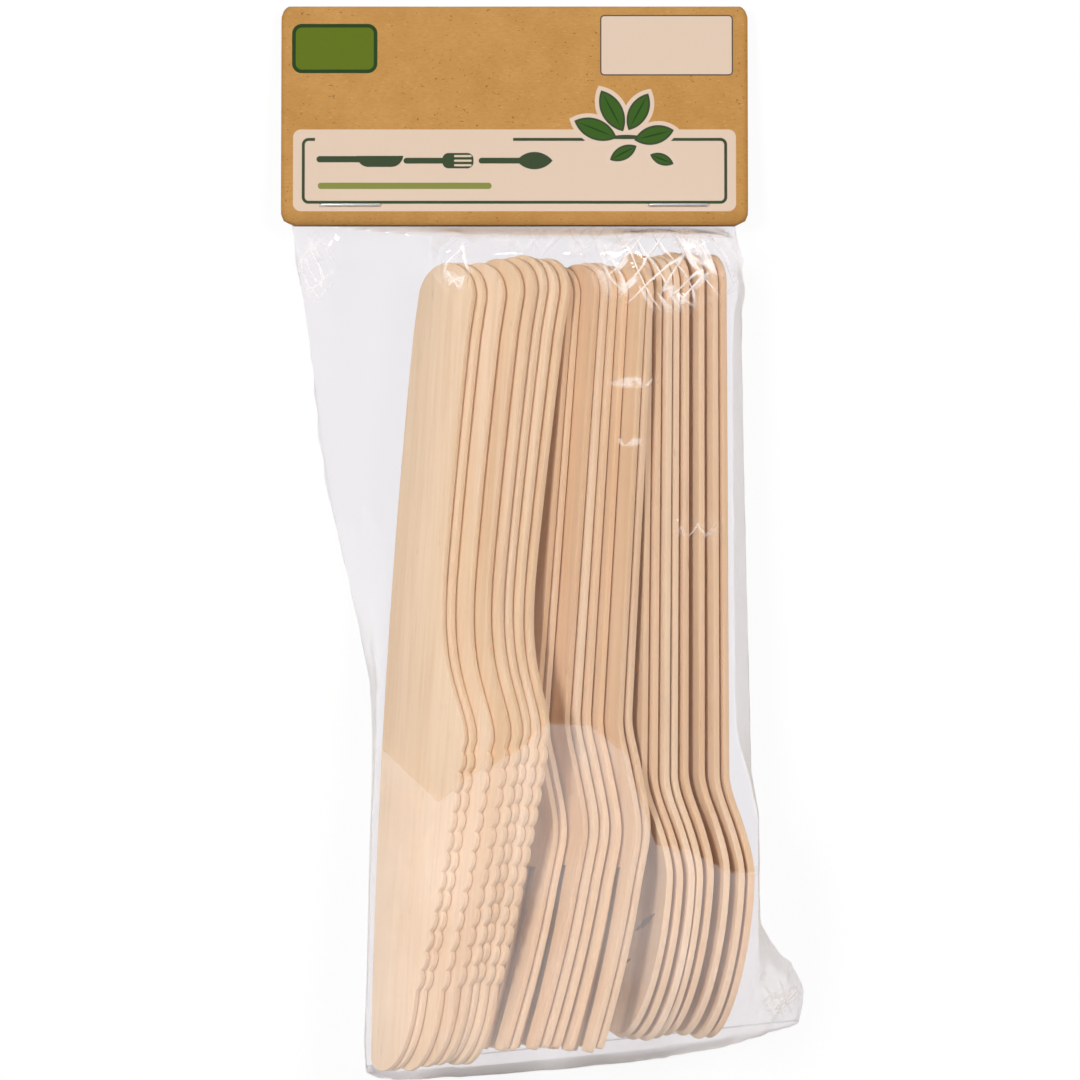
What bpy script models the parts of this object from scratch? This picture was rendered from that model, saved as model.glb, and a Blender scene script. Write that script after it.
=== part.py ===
"""A pack of wooden cutlery: eight knives, eight forks and eight spoons of pressed birch veneer in a clear
film bag, which hangs from a folded card header held by two staples. Metres, +Z up. The pack lies on its
back with the header at +Y and its front towards +Z. Each piece leans on its right-hand neighbour."""

import math

import bmesh
import bpy
import numpy as np
from mathutils import Matrix, Vector
from mathutils.bvhtree import BVHTree

# Veneer
VENEER = 0.0013
NEST_CLEARANCE = 0.0003

# Knife, measured from the end of its handle
KNIFE_LENGTH = 0.165
KNIFE_HANDLE_WIDTH = 0.0146
KNIFE_WAIST_WIDTH = 0.0138
KNIFE_WAIST_AT = 0.060
KNIFE_BLADE_WIDTH = 0.0222
KNIFE_HEEL_AT = 0.0975
KNIFE_FLARE_POWER = 3.2
KNIFE_SPINE_RADIUS = 1.38
KNIFE_SPINE_LOW_AT = 0.072
KNIFE_TIP_WIDTH = 0.0125
KNIFE_TIP_LENGTH = 0.0165
KNIFE_NOSE = 0.0032
KNIFE_EDGE_BULGE = 0.0009
KNIFE_TEETH = 12
KNIFE_TOOTH_DEPTH = 0.0008
KNIFE_TEETH_AFTER_HEEL = 0.0025

# Fork
FORK_LENGTH = 0.160
FORK_HANDLE_WIDTH = 0.0126
FORK_NECK_WIDTH = 0.0114
FORK_NECK_AT = 0.092
FORK_HEAD_WIDTH = 0.0262
FORK_SHOULDER_AT = 0.118
FORK_TIP_WIDTH = 0.0226
FORK_TAPER_POWER = 1.6
FORK_TINES = 4
FORK_TINE_LENGTH = 0.0375
FORK_TINE_WIDTH = 0.0041
FORK_TINE_POINT = 0.0022
FORK_TINE_END = 0.0013
FORK_CURL = 0.0070
FORK_CURL_FROM = 0.112
FORK_CURL_POWER = 1.7
FORK_DIP = 0.0009
FORK_CUP = 0.0007

# Spoon
SPOON_LENGTH = 0.160
SPOON_HANDLE_WIDTH = 0.0126
SPOON_NECK_WIDTH = 0.0114
SPOON_NECK_AT = 0.106
SPOON_BOWL_WIDTH = 0.0288
SPOON_BOWL_AT = 0.128
SPOON_BOWL_DEPTH = 0.0026
SPOON_BOWL_POWER = 1.2
SPOON_CURL = 0.0019
SPOON_CURL_FROM = 0.124
SPOON_CURL_POWER = 1.5
SPOON_DIP = 0.0008

# The row of pieces: the right-hand edge of each one at ROW_Y, as steps from the piece on its left
ROW_Y = -0.0041
FIRST_EDGE_X = -0.0184
KNIFE_STEPS = (0.0020, 0.0038, 0.0035, 0.0026, 0.0018, 0.0023, 0.0022)
KNIFE_TO_FORK_STEP = 0.0030
FORK_STEPS = (0.0016, 0.0041, 0.0020, 0.0020, 0.0024, 0.0039, 0.0017)
FORK_TO_SPOON_STEP = 0.0020
SPOON_STEPS = (0.0020, 0.0023, 0.0016, 0.0021, 0.0032, 0.0029, 0.0019)
KNIFE_END_Y = (0.0560, 0.0560, 0.0560, 0.0568, 0.0571, 0.0576, 0.0570, 0.0570)
FORK_END_Y = (0.0552, 0.0553, 0.0556, 0.0560, 0.0560, 0.0554, 0.0553, 0.0560)
SPOON_END_Y = (0.0584, 0.0580, 0.0578, 0.0582, 0.0588, 0.0588, 0.0582, 0.0584)
KNIFE_LEAN = (41.0, 48.0)
FORK_LEAN = (48.0, 55.0)
SPOON_LEAN = (57.0, 61.0)
KNIFE_TURN = (3.8, 5.2)
FORK_TURN = (4.2, 2.7)
SPOON_TURN = (0.5, -0.4)
KNIFE_PITCH = 4.5
FORK_PITCH = 1.5
SPOON_PITCH = 3.0

# Film bag
FILM_WALL = 0.0002
FILM_CLEARANCE = 0.0005
CREST_SHARE = 0.75
CREST_GAP = 0.006
ROW_OVERLAP = 0.0025
FILM_FOLD = 0.0010
BAG_END_MARGIN = 0.0020
BAG_END_LEFT_Y = -0.1088
BAG_END_RIGHT_Y = -0.0994
BAG_LEFT_FOLD = (
    (0.0635, -0.0508), (0.035, -0.0467), (0.012, -0.0437), (-0.0035, -0.0406), (-0.0153, -0.0378),
    (-0.0326, -0.0343), (-0.054, -0.0344), (-0.088, -0.0343), (-0.109, -0.0328),
)
BAG_RIGHT_FOLD = (
    (0.0635, 0.0402), (0.047, 0.0414), (0.018, 0.0419), (-0.0305, 0.0431), (-0.069, 0.0440),
    (-0.0776, 0.0446), (-0.0835, 0.0458), (-0.088, 0.0480), (-0.0925, 0.0504), (-0.099, 0.0532),
)

# Header card
CARD_WIDTH = 0.0957
CARD_HEIGHT = 0.0454
CARD_THICKNESS = 0.0004
CARD_CORNER = 0.0027
CARD_CENTRE_X = -0.0051
CARD_LOW_Y = 0.0635
CARD_TILT = 5.0
CARD_CLEARANCE = 0.0003
MOUTH_DEPTH = 0.016

# Staples
STAPLE_WIDTH = 0.0128
STAPLE_WIRE = 0.0006
STAPLE_BEND = 0.0006
STAPLE_LEG = 0.0050
STAPLE_SPACING = 0.0672
STAPLE_ABOVE_EDGE = 0.0041
STAPLE_CLEARANCE = 0.00015

# How finely things are divided
END_STEPS = 3
HANDLE_ROWS = 6
FLARE_ROWS = 5
BOWL_ROWS = 8
BOWL_COLUMNS = 6
TINE_ROWS = 5
SAMPLE_STEP = 0.002
DROP_HEIGHT = 0.2
BAG_ROWS = 24
BAG_ROWS_CROWD = 0.7
MOUTH_ROWS = 2
SLOPE_CELLS = 2
FACE_CELLS = 2
CREST_CELLS = 9
SIDE_CELLS = 3
LIFT_TURNS = 3
KNIFE_END_STEPS = 8
KNIFE_TIP_STEPS = 6
KNIFE_NOSE_STEPS = 3
FOLD_STEPS = 8
CORNER_STEPS = 4
BEND_STEPS = 3
MERGE = 0.00001


def clear_scene():
    for old in list(bpy.data.objects):
        bpy.data.objects.remove(old, do_unlink=True)


def new_collection(name):
    collection = bpy.data.collections.new(name)
    bpy.context.scene.collection.children.link(collection)
    return collection


def material(name, colour, roughness, metallic=0.0, alpha=1.0):
    """A Principled material of one colour, roughness and metallic value."""
    made = bpy.data.materials.new(name)
    made.use_nodes = True
    shader = made.node_tree.nodes["Principled BSDF"]
    shader.inputs["Base Color"].default_value = (*colour, 1.0)
    shader.inputs["Roughness"].default_value = roughness
    shader.inputs["Metallic"].default_value = metallic
    shader.inputs["Alpha"].default_value = alpha
    made.diffuse_color = (*colour, alpha)
    return made


def add_object(name, mesh, collection, finish, smooth_angle=35.0):
    """An object on the mesh, in the collection, with its material and smooth shading up to an angle."""
    made = bpy.data.objects.new(name, mesh)
    collection.objects.link(made)
    mesh.materials.clear()
    mesh.materials.append(finish)
    mesh.shade_smooth()
    mesh.set_sharp_from_angle(angle=math.radians(smooth_angle))
    return made


def blend(value, low, high):
    """A smooth step from 0 at low to 1 at high."""
    share = min(max((value - low) / (high - low), 0.0), 1.0)
    return share * share * (3.0 - 2.0 * share)


def ramp(ends, index, count):
    """The value at one of count even steps between two ends."""
    return ends[0] + (ends[1] - ends[0]) * index / (count - 1)


def round_end(width, depth):
    """Stations along a rounded end and the half widths there, from just after its tip to its full width."""
    angles = [math.pi / 2 * step / END_STEPS for step in range(1, END_STEPS + 1)]
    return [(depth * (1 - math.cos(angle)), width / 2 * math.sin(angle)) for angle in angles]


def knife_spine(t):
    """The back of the knife is a slight bow, lowest at KNIFE_SPINE_LOW_AT."""
    away = t - KNIFE_SPINE_LOW_AT
    return -KNIFE_HANDLE_WIDTH / 2 + (away * away) / (2 * KNIFE_SPINE_RADIUS)


def knife_edge(t):
    """The other side of the knife: handle, waist, and the flare up to the heel of the blade."""
    if t <= KNIFE_WAIST_AT:
        width = KNIFE_HANDLE_WIDTH + (KNIFE_WAIST_WIDTH - KNIFE_HANDLE_WIDTH) * t / KNIFE_WAIST_AT
        return knife_spine(t) + width
    share = min((t - KNIFE_WAIST_AT) / (KNIFE_HEEL_AT - KNIFE_WAIST_AT), 1.0)
    flare = math.sin(math.pi / 2 * share ** KNIFE_FLARE_POWER)
    return knife_spine(t) + KNIFE_WAIST_WIDTH + (KNIFE_BLADE_WIDTH - KNIFE_WAIST_WIDTH) * flare


def knife_teeth():
    """The toothed edge from the heel to the tip: shallow scallops on a slightly bulging line."""
    tip_at = KNIFE_LENGTH - KNIFE_TIP_LENGTH
    heel = KNIFE_HEEL_AT + KNIFE_TEETH_AFTER_HEEL
    start = knife_spine(heel) + KNIFE_BLADE_WIDTH
    end = knife_spine(tip_at) + KNIFE_TIP_WIDTH
    points = []
    for step in range(3 * KNIFE_TEETH + 1):
        share = step / (3 * KNIFE_TEETH)
        line = start + (end - start) * share + 4 * KNIFE_EDGE_BULGE * share * (1 - share)
        notch = KNIFE_TOOTH_DEPTH if step % 3 == 0 else 0.0
        points.append((line - notch, heel + (tip_at - heel) * share))
    return points


def knife_outline():
    """The knife's outline as (across, along) points, anticlockwise seen from its upper face."""
    low, high = knife_spine(0.0), knife_edge(0.0)
    middle, half = (low + high) / 2, (high - low) / 2
    depth = KNIFE_HANDLE_WIDTH / 2
    points = []
    for step in range(KNIFE_END_STEPS + 1):
        angle = math.pi * step / KNIFE_END_STEPS
        points.append((middle - half * math.cos(angle), depth * (1 - math.sin(angle))))
    for share in (0.35, 0.75, 1.0):
        along = KNIFE_WAIST_AT * share
        points.append((knife_edge(along), along))
    for share in (0.35, 0.55, 0.7, 0.82, 0.92, 1.0):
        along = KNIFE_WAIST_AT + (KNIFE_HEEL_AT - KNIFE_WAIST_AT) * share
        points.append((knife_edge(along), along))
    points += knife_teeth()
    tip_at = KNIFE_LENGTH - KNIFE_TIP_LENGTH
    nose_at = KNIFE_LENGTH - KNIFE_NOSE
    nose = knife_spine(nose_at) + KNIFE_NOSE
    side = points[-1][0] - nose
    for step in range(1, KNIFE_TIP_STEPS + 1):
        angle = math.pi / 2 * step / KNIFE_TIP_STEPS
        points.append((nose + side * math.cos(angle), tip_at + KNIFE_TIP_LENGTH * math.sin(angle)))
    for step in range(1, KNIFE_NOSE_STEPS + 1):
        angle = math.pi / 2 * step / KNIFE_NOSE_STEPS
        points.append((nose - KNIFE_NOSE * math.sin(angle), nose_at + KNIFE_NOSE * math.cos(angle)))
    for share in (0.8, 0.6, 0.4, 0.2):
        along = nose_at * share
        points.append((knife_spine(along), along))
    return points


def knife_mesh(name):
    """A flat extruded outline whose upper face lies at height 0."""
    curve = bpy.data.curves.new(name, "CURVE")
    curve.dimensions = "2D"
    curve.fill_mode = "BOTH"
    curve.extrude = VENEER / 2
    outline = knife_outline()
    spline = curve.splines.new("POLY")
    spline.points.add(len(outline) - 1)
    for point, (across, along) in zip(spline.points, outline):
        point.co = (across, -along, 0.0, 1.0)
    spline.use_cyclic_u = True
    guide = bpy.data.objects.new(name, curve)
    bpy.context.scene.collection.objects.link(guide)
    bpy.context.view_layer.update()
    mesh = bpy.data.meshes.new_from_object(guide.evaluated_get(bpy.context.evaluated_depsgraph_get()))
    bpy.data.objects.remove(guide, do_unlink=True)
    shape = bmesh.new()
    shape.from_mesh(mesh)
    bmesh.ops.remove_doubles(shape, verts=shape.verts, dist=MERGE)
    bmesh.ops.translate(shape, verts=shape.verts, vec=(0.0, 0.0, -VENEER / 2))
    bmesh.ops.recalc_face_normals(shape, faces=shape.faces)
    shape.to_mesh(mesh)
    shape.free()
    return mesh


def fork_half_width(t):
    neck = FORK_HANDLE_WIDTH + (FORK_NECK_WIDTH - FORK_HANDLE_WIDTH) * min(t / FORK_NECK_AT, 1.0)
    share = max((t - FORK_SHOULDER_AT) / (FORK_LENGTH - FORK_SHOULDER_AT), 0.0)
    head = FORK_HEAD_WIDTH + (FORK_TIP_WIDTH - FORK_HEAD_WIDTH) * share ** FORK_TAPER_POWER
    return (neck + (head - neck) * blend(t, FORK_NECK_AT, FORK_SHOULDER_AT)) / 2


def fork_height(across, t):
    """How far the pressed fork rises from the plane of its handle: a dip, then a curl up to the tines."""
    half = fork_half_width(t)
    dip = FORK_DIP * blend(t, FORK_NECK_AT, 0.5 * (FORK_NECK_AT + FORK_CURL_FROM))
    dip *= 1.0 - blend(t, FORK_CURL_FROM, FORK_SHOULDER_AT + FORK_TINE_LENGTH / 4)
    share = max((t - FORK_CURL_FROM) / (FORK_LENGTH - FORK_CURL_FROM), 0.0)
    curl = FORK_CURL * share ** FORK_CURL_POWER
    cup = FORK_CUP * blend(t, FORK_NECK_AT, FORK_SHOULDER_AT) * (1.0 - (across / half) ** 2)
    return curl - dip - cup


def spoon_half_width(t):
    neck = SPOON_HANDLE_WIDTH + (SPOON_NECK_WIDTH - SPOON_HANDLE_WIDTH) * min(t / SPOON_NECK_AT, 1.0)
    if t <= SPOON_BOWL_AT:
        return (neck + (SPOON_BOWL_WIDTH - neck) * blend(t, SPOON_NECK_AT, SPOON_BOWL_AT)) / 2
    share = min((t - SPOON_BOWL_AT) / (SPOON_LENGTH - SPOON_BOWL_AT), 1.0)
    return SPOON_BOWL_WIDTH / 2 * math.sqrt(max(1.0 - share * share, 0.0))


def spoon_height(across, t):
    """How far the pressed spoon rises from the plane of its handle: a dip, a dished bowl, a raised tip."""
    half = max(spoon_half_width(t), 1e-6)
    dip = SPOON_DIP * blend(t, SPOON_NECK_AT, 0.5 * (SPOON_NECK_AT + SPOON_BOWL_AT))
    dip *= 1.0 - blend(t, 0.5 * (SPOON_NECK_AT + SPOON_BOWL_AT), SPOON_LENGTH)
    share = max((t - SPOON_CURL_FROM) / (SPOON_LENGTH - SPOON_CURL_FROM), 0.0)
    curl = SPOON_CURL * share ** SPOON_CURL_POWER
    wide = half / (SPOON_BOWL_WIDTH / 2)
    deep = blend(t, SPOON_NECK_AT, SPOON_BOWL_AT) * wide ** SPOON_BOWL_POWER
    share = min(abs(across) / half, 1.0)
    return curl - dip - SPOON_BOWL_DEPTH * deep * (1.0 - share * share)


def row_of(shape, acrosses, t, height):
    return [shape.verts.new((across, -t, height(across, t))) for across in acrosses]


def join_rows(shape, upper, lower):
    """Faces between two rows of vertices. A row of two joins a row of many by one many-sided face."""
    if len(upper) == len(lower):
        for index in range(len(upper) - 1):
            shape.faces.new((upper[index], lower[index], lower[index + 1], upper[index + 1]))
    elif len(upper) == 2:
        shape.faces.new((upper[0], *lower, upper[1]))


def handle_rows(shape, width, neck_at, half_width, height):
    """The rounded end and the plain handle, as rows of two vertices. Gives back the last row."""
    tip = shape.verts.new((0.0, 0.0, height(0.0, 0.0)))
    last = None
    for t, half in round_end(width, width / 2):
        row = row_of(shape, (-half, half), t, height)
        if last is None:
            shape.faces.new((tip, row[0], row[1]))
        else:
            join_rows(shape, last, row)
        last = row
    start = width / 2
    for step in range(1, HANDLE_ROWS + 1):
        t = start + (neck_at - start) * step / HANDLE_ROWS
        row = row_of(shape, (-half_width(t), half_width(t)), t, height)
        join_rows(shape, last, row)
        last = row
    return last


def spoon_mesh(name):
    """The spoon's upper face as an open sheet."""
    shape = bmesh.new()
    last = handle_rows(shape, SPOON_HANDLE_WIDTH, SPOON_NECK_AT, spoon_half_width, spoon_height)
    stations = [
        SPOON_NECK_AT + (SPOON_BOWL_AT - SPOON_NECK_AT) * step / FLARE_ROWS
        for step in range(1, FLARE_ROWS + 1)
    ]
    reach = SPOON_LENGTH - SPOON_BOWL_AT
    stations += [
        SPOON_BOWL_AT + reach * math.sin(math.pi / 2 * step / BOWL_ROWS) for step in range(1, BOWL_ROWS)
    ]
    for t in stations:
        half = spoon_half_width(t)
        acrosses = [half * (2 * index / BOWL_COLUMNS - 1) for index in range(BOWL_COLUMNS + 1)]
        row = row_of(shape, acrosses, t, spoon_height)
        join_rows(shape, last, row)
        last = row
    tip = shape.verts.new((0.0, -SPOON_LENGTH, spoon_height(0.0, SPOON_LENGTH)))
    for index in range(len(last) - 1):
        shape.faces.new((last[index], tip, last[index + 1]))
    mesh = bpy.data.meshes.new(name)
    shape.to_mesh(mesh)
    shape.free()
    return mesh


def tine_sides(t, width):
    """The across values of both sides of each tine, for tines of one width at a station."""
    outer = fork_half_width(t)
    pitch = (2 * outer - FORK_TINE_WIDTH) / (FORK_TINES - 1)
    middles = [-outer + FORK_TINE_WIDTH / 2 + pitch * index for index in range(FORK_TINES)]
    return [(middle - width / 2, middle + width / 2) for middle in middles]


def fork_mesh(name):
    """The fork's upper face as an open sheet with its tines."""
    shape = bmesh.new()
    last = handle_rows(shape, FORK_HANDLE_WIDTH, FORK_NECK_AT, fork_half_width, fork_height)
    root = FORK_LENGTH - FORK_TINE_LENGTH
    for step in range(1, FLARE_ROWS + 1):
        t = FORK_NECK_AT + (root - FORK_NECK_AT) * step / FLARE_ROWS
        half = fork_half_width(t)
        full = fork_half_width(root)
        acrosses = [side * half / full for pair in tine_sides(root, FORK_TINE_WIDTH) for side in pair]
        row = row_of(shape, acrosses, t, fork_height)
        join_rows(shape, last, row)
        last = row
    pairs = [(last[2 * index], last[2 * index + 1]) for index in range(FORK_TINES)]
    point_at = FORK_LENGTH - FORK_TINE_WIDTH / 2
    for step in range(1, TINE_ROWS + 1):
        t = root + (point_at - root) * step / TINE_ROWS
        width = FORK_TINE_WIDTH + (FORK_TINE_POINT - FORK_TINE_WIDTH) * 0.5 * step / TINE_ROWS
        rows = [row_of(shape, sides, t, fork_height) for sides in tine_sides(t, width)]
        for pair, row in zip(pairs, rows):
            join_rows(shape, pair, row)
        pairs = rows
    for pair, sides in zip(pairs, tine_sides(FORK_LENGTH, FORK_TINE_END)):
        join_rows(shape, pair, row_of(shape, sides, FORK_LENGTH, fork_height))
    mesh = bpy.data.meshes.new(name)
    shape.to_mesh(mesh)
    shape.free()
    return mesh


def solid_plate(mesh):
    """The sheet made VENEER thick, below its upper face, as a mesh of its own."""
    guide = bpy.data.objects.new("guide", mesh)
    bpy.context.scene.collection.objects.link(guide)
    thick = guide.modifiers.new("thickness", "SOLIDIFY")
    thick.thickness = VENEER
    thick.offset = -1.0
    thick.use_even_offset = True
    bpy.context.view_layer.update()
    solid = bpy.data.meshes.new_from_object(guide.evaluated_get(bpy.context.evaluated_depsgraph_get()))
    bpy.data.objects.remove(guide, do_unlink=True)
    solid.name = mesh.name
    shape = bmesh.new()
    shape.from_mesh(solid)
    bmesh.ops.recalc_face_normals(shape, faces=shape.faces)
    shape.to_mesh(solid)
    shape.free()
    return solid


def samples_of(mesh):
    """Points along every edge of a mesh, no further apart than SAMPLE_STEP."""
    points = [vertex.co.copy() for vertex in mesh.vertices]
    for edge in mesh.edges:
        start, end = (mesh.vertices[index].co for index in edge.vertices)
        count = int((end - start).length / SAMPLE_STEP)
        points += [start.lerp(end, step / (count + 1)) for step in range(1, count + 1)]
    return points


def pose(lean, pitch, turn):
    """A piece's turn: its right side raised by lean, its head end by pitch, its handle end turned right."""
    return (
        Matrix.Rotation(math.radians(-turn), 3, "Z")
        @ Matrix.Rotation(math.radians(-pitch), 3, "X")
        @ Matrix.Rotation(math.radians(-lean), 3, "Y")
    )


class Row:
    """The pieces that lie already, against which the next one on the left settles."""

    def __init__(self):
        self.points = []
        self.vertices = []
        self.faces = []
        self.latest = []

    def settle(self, mesh, turn, place, lean):
        """How high a piece lies at its place, on the film or a clearance above the pieces on its right."""
        high = DROP_HEIGHT
        floor = FILM_WALL + FILM_CLEARANCE
        points = [turn @ point + place for point in samples_of(mesh)]
        corners = [turn @ vertex.co + place for vertex in mesh.vertices]
        polygons = [tuple(face.vertices) for face in mesh.polygons]
        drop = min(point.z for point in points) + high - floor
        if self.faces:
            gap = NEST_CLEARANCE / math.cos(math.radians(lean))
            lift = Vector((0.0, 0.0, high))
            lying = BVHTree.FromPolygons(self.vertices, self.faces)
            for point in points:
                hit = lying.ray_cast(point + lift, Vector((0.0, 0.0, -1.0)))
                if hit[0] is not None:
                    drop = min(drop, hit[3] - gap)
            coming = BVHTree.FromPolygons([corner + lift for corner in corners], polygons)
            for point in self.latest:
                hit = coming.ray_cast(point, Vector((0.0, 0.0, 1.0)))
                if hit[0] is not None:
                    drop = min(drop, hit[3] - gap)
        height = high - drop
        first = len(self.vertices)
        settled = [point + Vector((0.0, 0.0, height)) for point in points]
        self.vertices += [corner + Vector((0.0, 0.0, height)) for corner in corners]
        self.faces += [tuple(first + index for index in polygon) for polygon in polygons]
        self.latest = (settled + self.latest)[: 3 * len(settled)]
        self.points += settled
        return height


def edge_positions():
    """The x of each piece's right-hand edge at ROW_Y, from left to right."""
    steps = (*KNIFE_STEPS, KNIFE_TO_FORK_STEP, *FORK_STEPS, FORK_TO_SPOON_STEP, *SPOON_STEPS)
    edges = [FIRST_EDGE_X]
    for step in steps:
        edges.append(edges[-1] + step)
    return edges


def lay_row(collection, root):
    """Lays spoons, forks and knives from right to left, and gives back the points of all of them."""
    birch = {
        "knife": material("birch_knife", (0.81, 0.62, 0.41), 0.62),
        "fork": material("birch_fork", (0.79, 0.59, 0.39), 0.62),
        "spoon": material("birch_spoon", (0.80, 0.60, 0.40), 0.62),
    }
    kinds = (
        ("knife", knife_mesh("knife"), KNIFE_END_Y, KNIFE_LEAN, KNIFE_TURN, KNIFE_PITCH, knife_edge),
        ("fork", solid_plate(fork_mesh("fork")), FORK_END_Y, FORK_LEAN, FORK_TURN, FORK_PITCH,
         fork_half_width),
        ("spoon", solid_plate(spoon_mesh("spoon")), SPOON_END_Y, SPOON_LEAN, SPOON_TURN, SPOON_PITCH,
         spoon_half_width),
    )
    edges = edge_positions()
    row = Row()
    for kind, mesh, ends, leans, turns, pitch, side in reversed(kinds):
        for index in reversed(range(len(ends))):
            lean = ramp(leans, index, len(ends))
            turn = pose(lean, pitch, ramp(turns, index, len(ends)))
            edge_x = edges.pop()
            reach = ends[index] - ROW_Y
            seat = turn @ Vector((side(reach), -reach, -VENEER))
            place = Vector((edge_x - seat.x, ROW_Y - seat.y, 0.0))
            place.z = row.settle(mesh, turn, place, lean)
            piece = add_object(f"{kind}_{index + 1}", mesh, collection, birch[kind])
            piece.matrix_world = Matrix.Translation(place) @ turn.to_4x4()
            piece.parent = root
    return row.points


def header_height():
    """The height of the card's lower edge above the table: its fold rests there, and the card is tilted."""
    return CARD_HEIGHT * math.sin(math.radians(CARD_TILT)) + FILM_WALL


def card_stack():
    """The thickness of the folded card with the mouth of the bag between its leaves."""
    return 2 * CARD_THICKNESS + 2 * CARD_CLEARANCE + FILM_FOLD


def film_back(y, lift_from):
    """The height of the film's back sheet: flat under the pieces, then up and into the tilted card."""
    tilt = math.radians(CARD_TILT)
    at_card = header_height() + (CARD_THICKNESS + CARD_CLEARANCE) / math.cos(tilt)
    if y >= CARD_LOW_Y:
        return at_card - (y - CARD_LOW_Y) * math.tan(tilt)
    return at_card * max((y - lift_from) / (CARD_LOW_Y - lift_from), 0.0)


def upper_hull(points):
    """The taut line over points in a section, from its left end to its right end."""
    hull = []
    for point in sorted(points):
        while len(hull) > 1:
            (ax, az), (bx, bz) = hull[-2], hull[-1]
            if (bx - ax) * (point[1] - az) - (bz - az) * (point[0] - ax) < 0:
                break
            hull.pop()
        hull.append(point)
    return hull


def fold_x(line, y):
    """The x of a side fold at a height along the bag, on straight stretches between its points."""
    ys, xs = zip(*sorted(line))
    return float(np.interp(y, ys, xs))


def end_line(cloud):
    """The closed end of the bag in plan, drawn tight round the tips of the pieces: its xs and ys."""
    off = 2 * (FILM_WALL + FILM_CLEARANCE)
    low = cloud[cloud[:, 1] < BAG_END_RIGHT_Y + SPOON_BOWL_WIDTH]
    left = min(BAG_LEFT_FOLD[-1][1], low[:, 0].min() - off)
    right = max(BAG_RIGHT_FOLD[-1][1], low[:, 0].max() + off)
    tips = [(x, BAG_END_MARGIN - y) for x, y in cloud[:, :2]]
    hull = upper_hull([(left, -BAG_END_LEFT_Y), (right, -BAG_END_RIGHT_Y)] + tips)
    return [x for x, y in hull], [-y for x, y in hull]


def bag_rows(end_y):
    """The rows of the bag from its mouth down: (height, how much of the end's slant the row takes)."""
    rows = [(CARD_LOW_Y + MOUTH_DEPTH * (1 - step / MOUTH_ROWS), 0.0) for step in range(MOUTH_ROWS)]
    for step in range(BAG_ROWS + 1):
        share = step / BAG_ROWS
        crowded = 0.5 - 0.5 * math.cos(math.pi * share)
        share += BAG_ROWS_CROWD * (crowded - share)
        rows.append((CARD_LOW_Y + (end_y - CARD_LOW_Y) * share, blend(share, 0.5, 1.0)))
    return rows


def bag_sections(cloud):
    """For each row of the bag: its line in plan, its back height and the taut line over the pieces."""
    end_xs, end_ys = end_line(cloud)
    end_y = (end_ys[0] + end_ys[-1]) / 2
    rows = bag_rows(end_y)
    lift_from = cloud[:, 1].max() + FILM_CLEARANCE
    off = FILM_WALL + FILM_CLEARANCE
    slant = np.interp(cloud[:, 0], end_xs, end_ys) - end_y
    top = cloud[cloud[:, 1] > cloud[:, 1].max() - SAMPLE_STEP]
    held = (cloud[:, 0].min(), top[:, 0].max())
    sections = []
    for index, (y, share) in enumerate(rows):
        above = rows[max(index - 1, 0)]
        below = rows[min(index + 1, len(rows) - 1)]
        under = cloud[:, 1] < above[0] + above[1] * slant + ROW_OVERLAP
        over = cloud[:, 1] > below[0] + below[1] * slant - ROW_OVERLAP
        near = cloud[under & over] if index > MOUTH_ROWS else cloud[:0]
        back = film_back(y, lift_from)
        left, right = fold_x(BAG_LEFT_FOLD, y), fold_x(BAG_RIGHT_FOLD, y)
        if len(near):
            left = min(left, near[:, 0].min() - 2 * off)
            right = max(right, near[:, 0].max() + 2 * off)
            held = (near[:, 0].min() - off, near[:, 0].max() + off)
        ends = [(left, back + FILM_FOLD), (right, back + FILM_FOLD)]
        raised = [
            (x + side * off, z + off * (1.0 - 0.5 * abs(side))) for x, z in near[:, (0, 2)]
            for side in (-1, 0, 1)
        ]
        hull = upper_hull(ends + [point for point in raised if point[1] > back + FILM_FOLD])
        line = (end_xs, [y + share * (end - end_y) for end in end_ys])
        sections.append((line, back, hull, held))
    return sections


def bag_columns(sections):
    """Columns of (x, y, z) along the front of each section: from the left fold to a shoulder at the first
    piece, up to the crest of the row, along its top to the last piece, and down to the right fold."""
    columns = []
    for line, back, hull, (shoulder, last) in sections:
        left, right = hull[0][0], hull[-1][0]
        top = max(z for x, z in hull)
        first = min(x for x, z in hull if z >= CREST_SHARE * top)
        first = min(max(first, shoulder + CREST_GAP), last - CREST_GAP)
        xs = [left + (shoulder - left) * step / SLOPE_CELLS for step in range(SLOPE_CELLS)]
        xs += [shoulder + (first - shoulder) * step / FACE_CELLS for step in range(FACE_CELLS)]
        xs += [first + (last - first) * step / CREST_CELLS for step in range(CREST_CELLS)]
        xs += [last + (right - last) * step / SIDE_CELLS for step in range(SIDE_CELLS + 1)]
        heights = np.interp(xs, *zip(*hull))
        front = [Vector(point) for point in zip(xs, np.interp(xs, *line), heights)]
        columns.append((back, front))
    return columns


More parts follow.
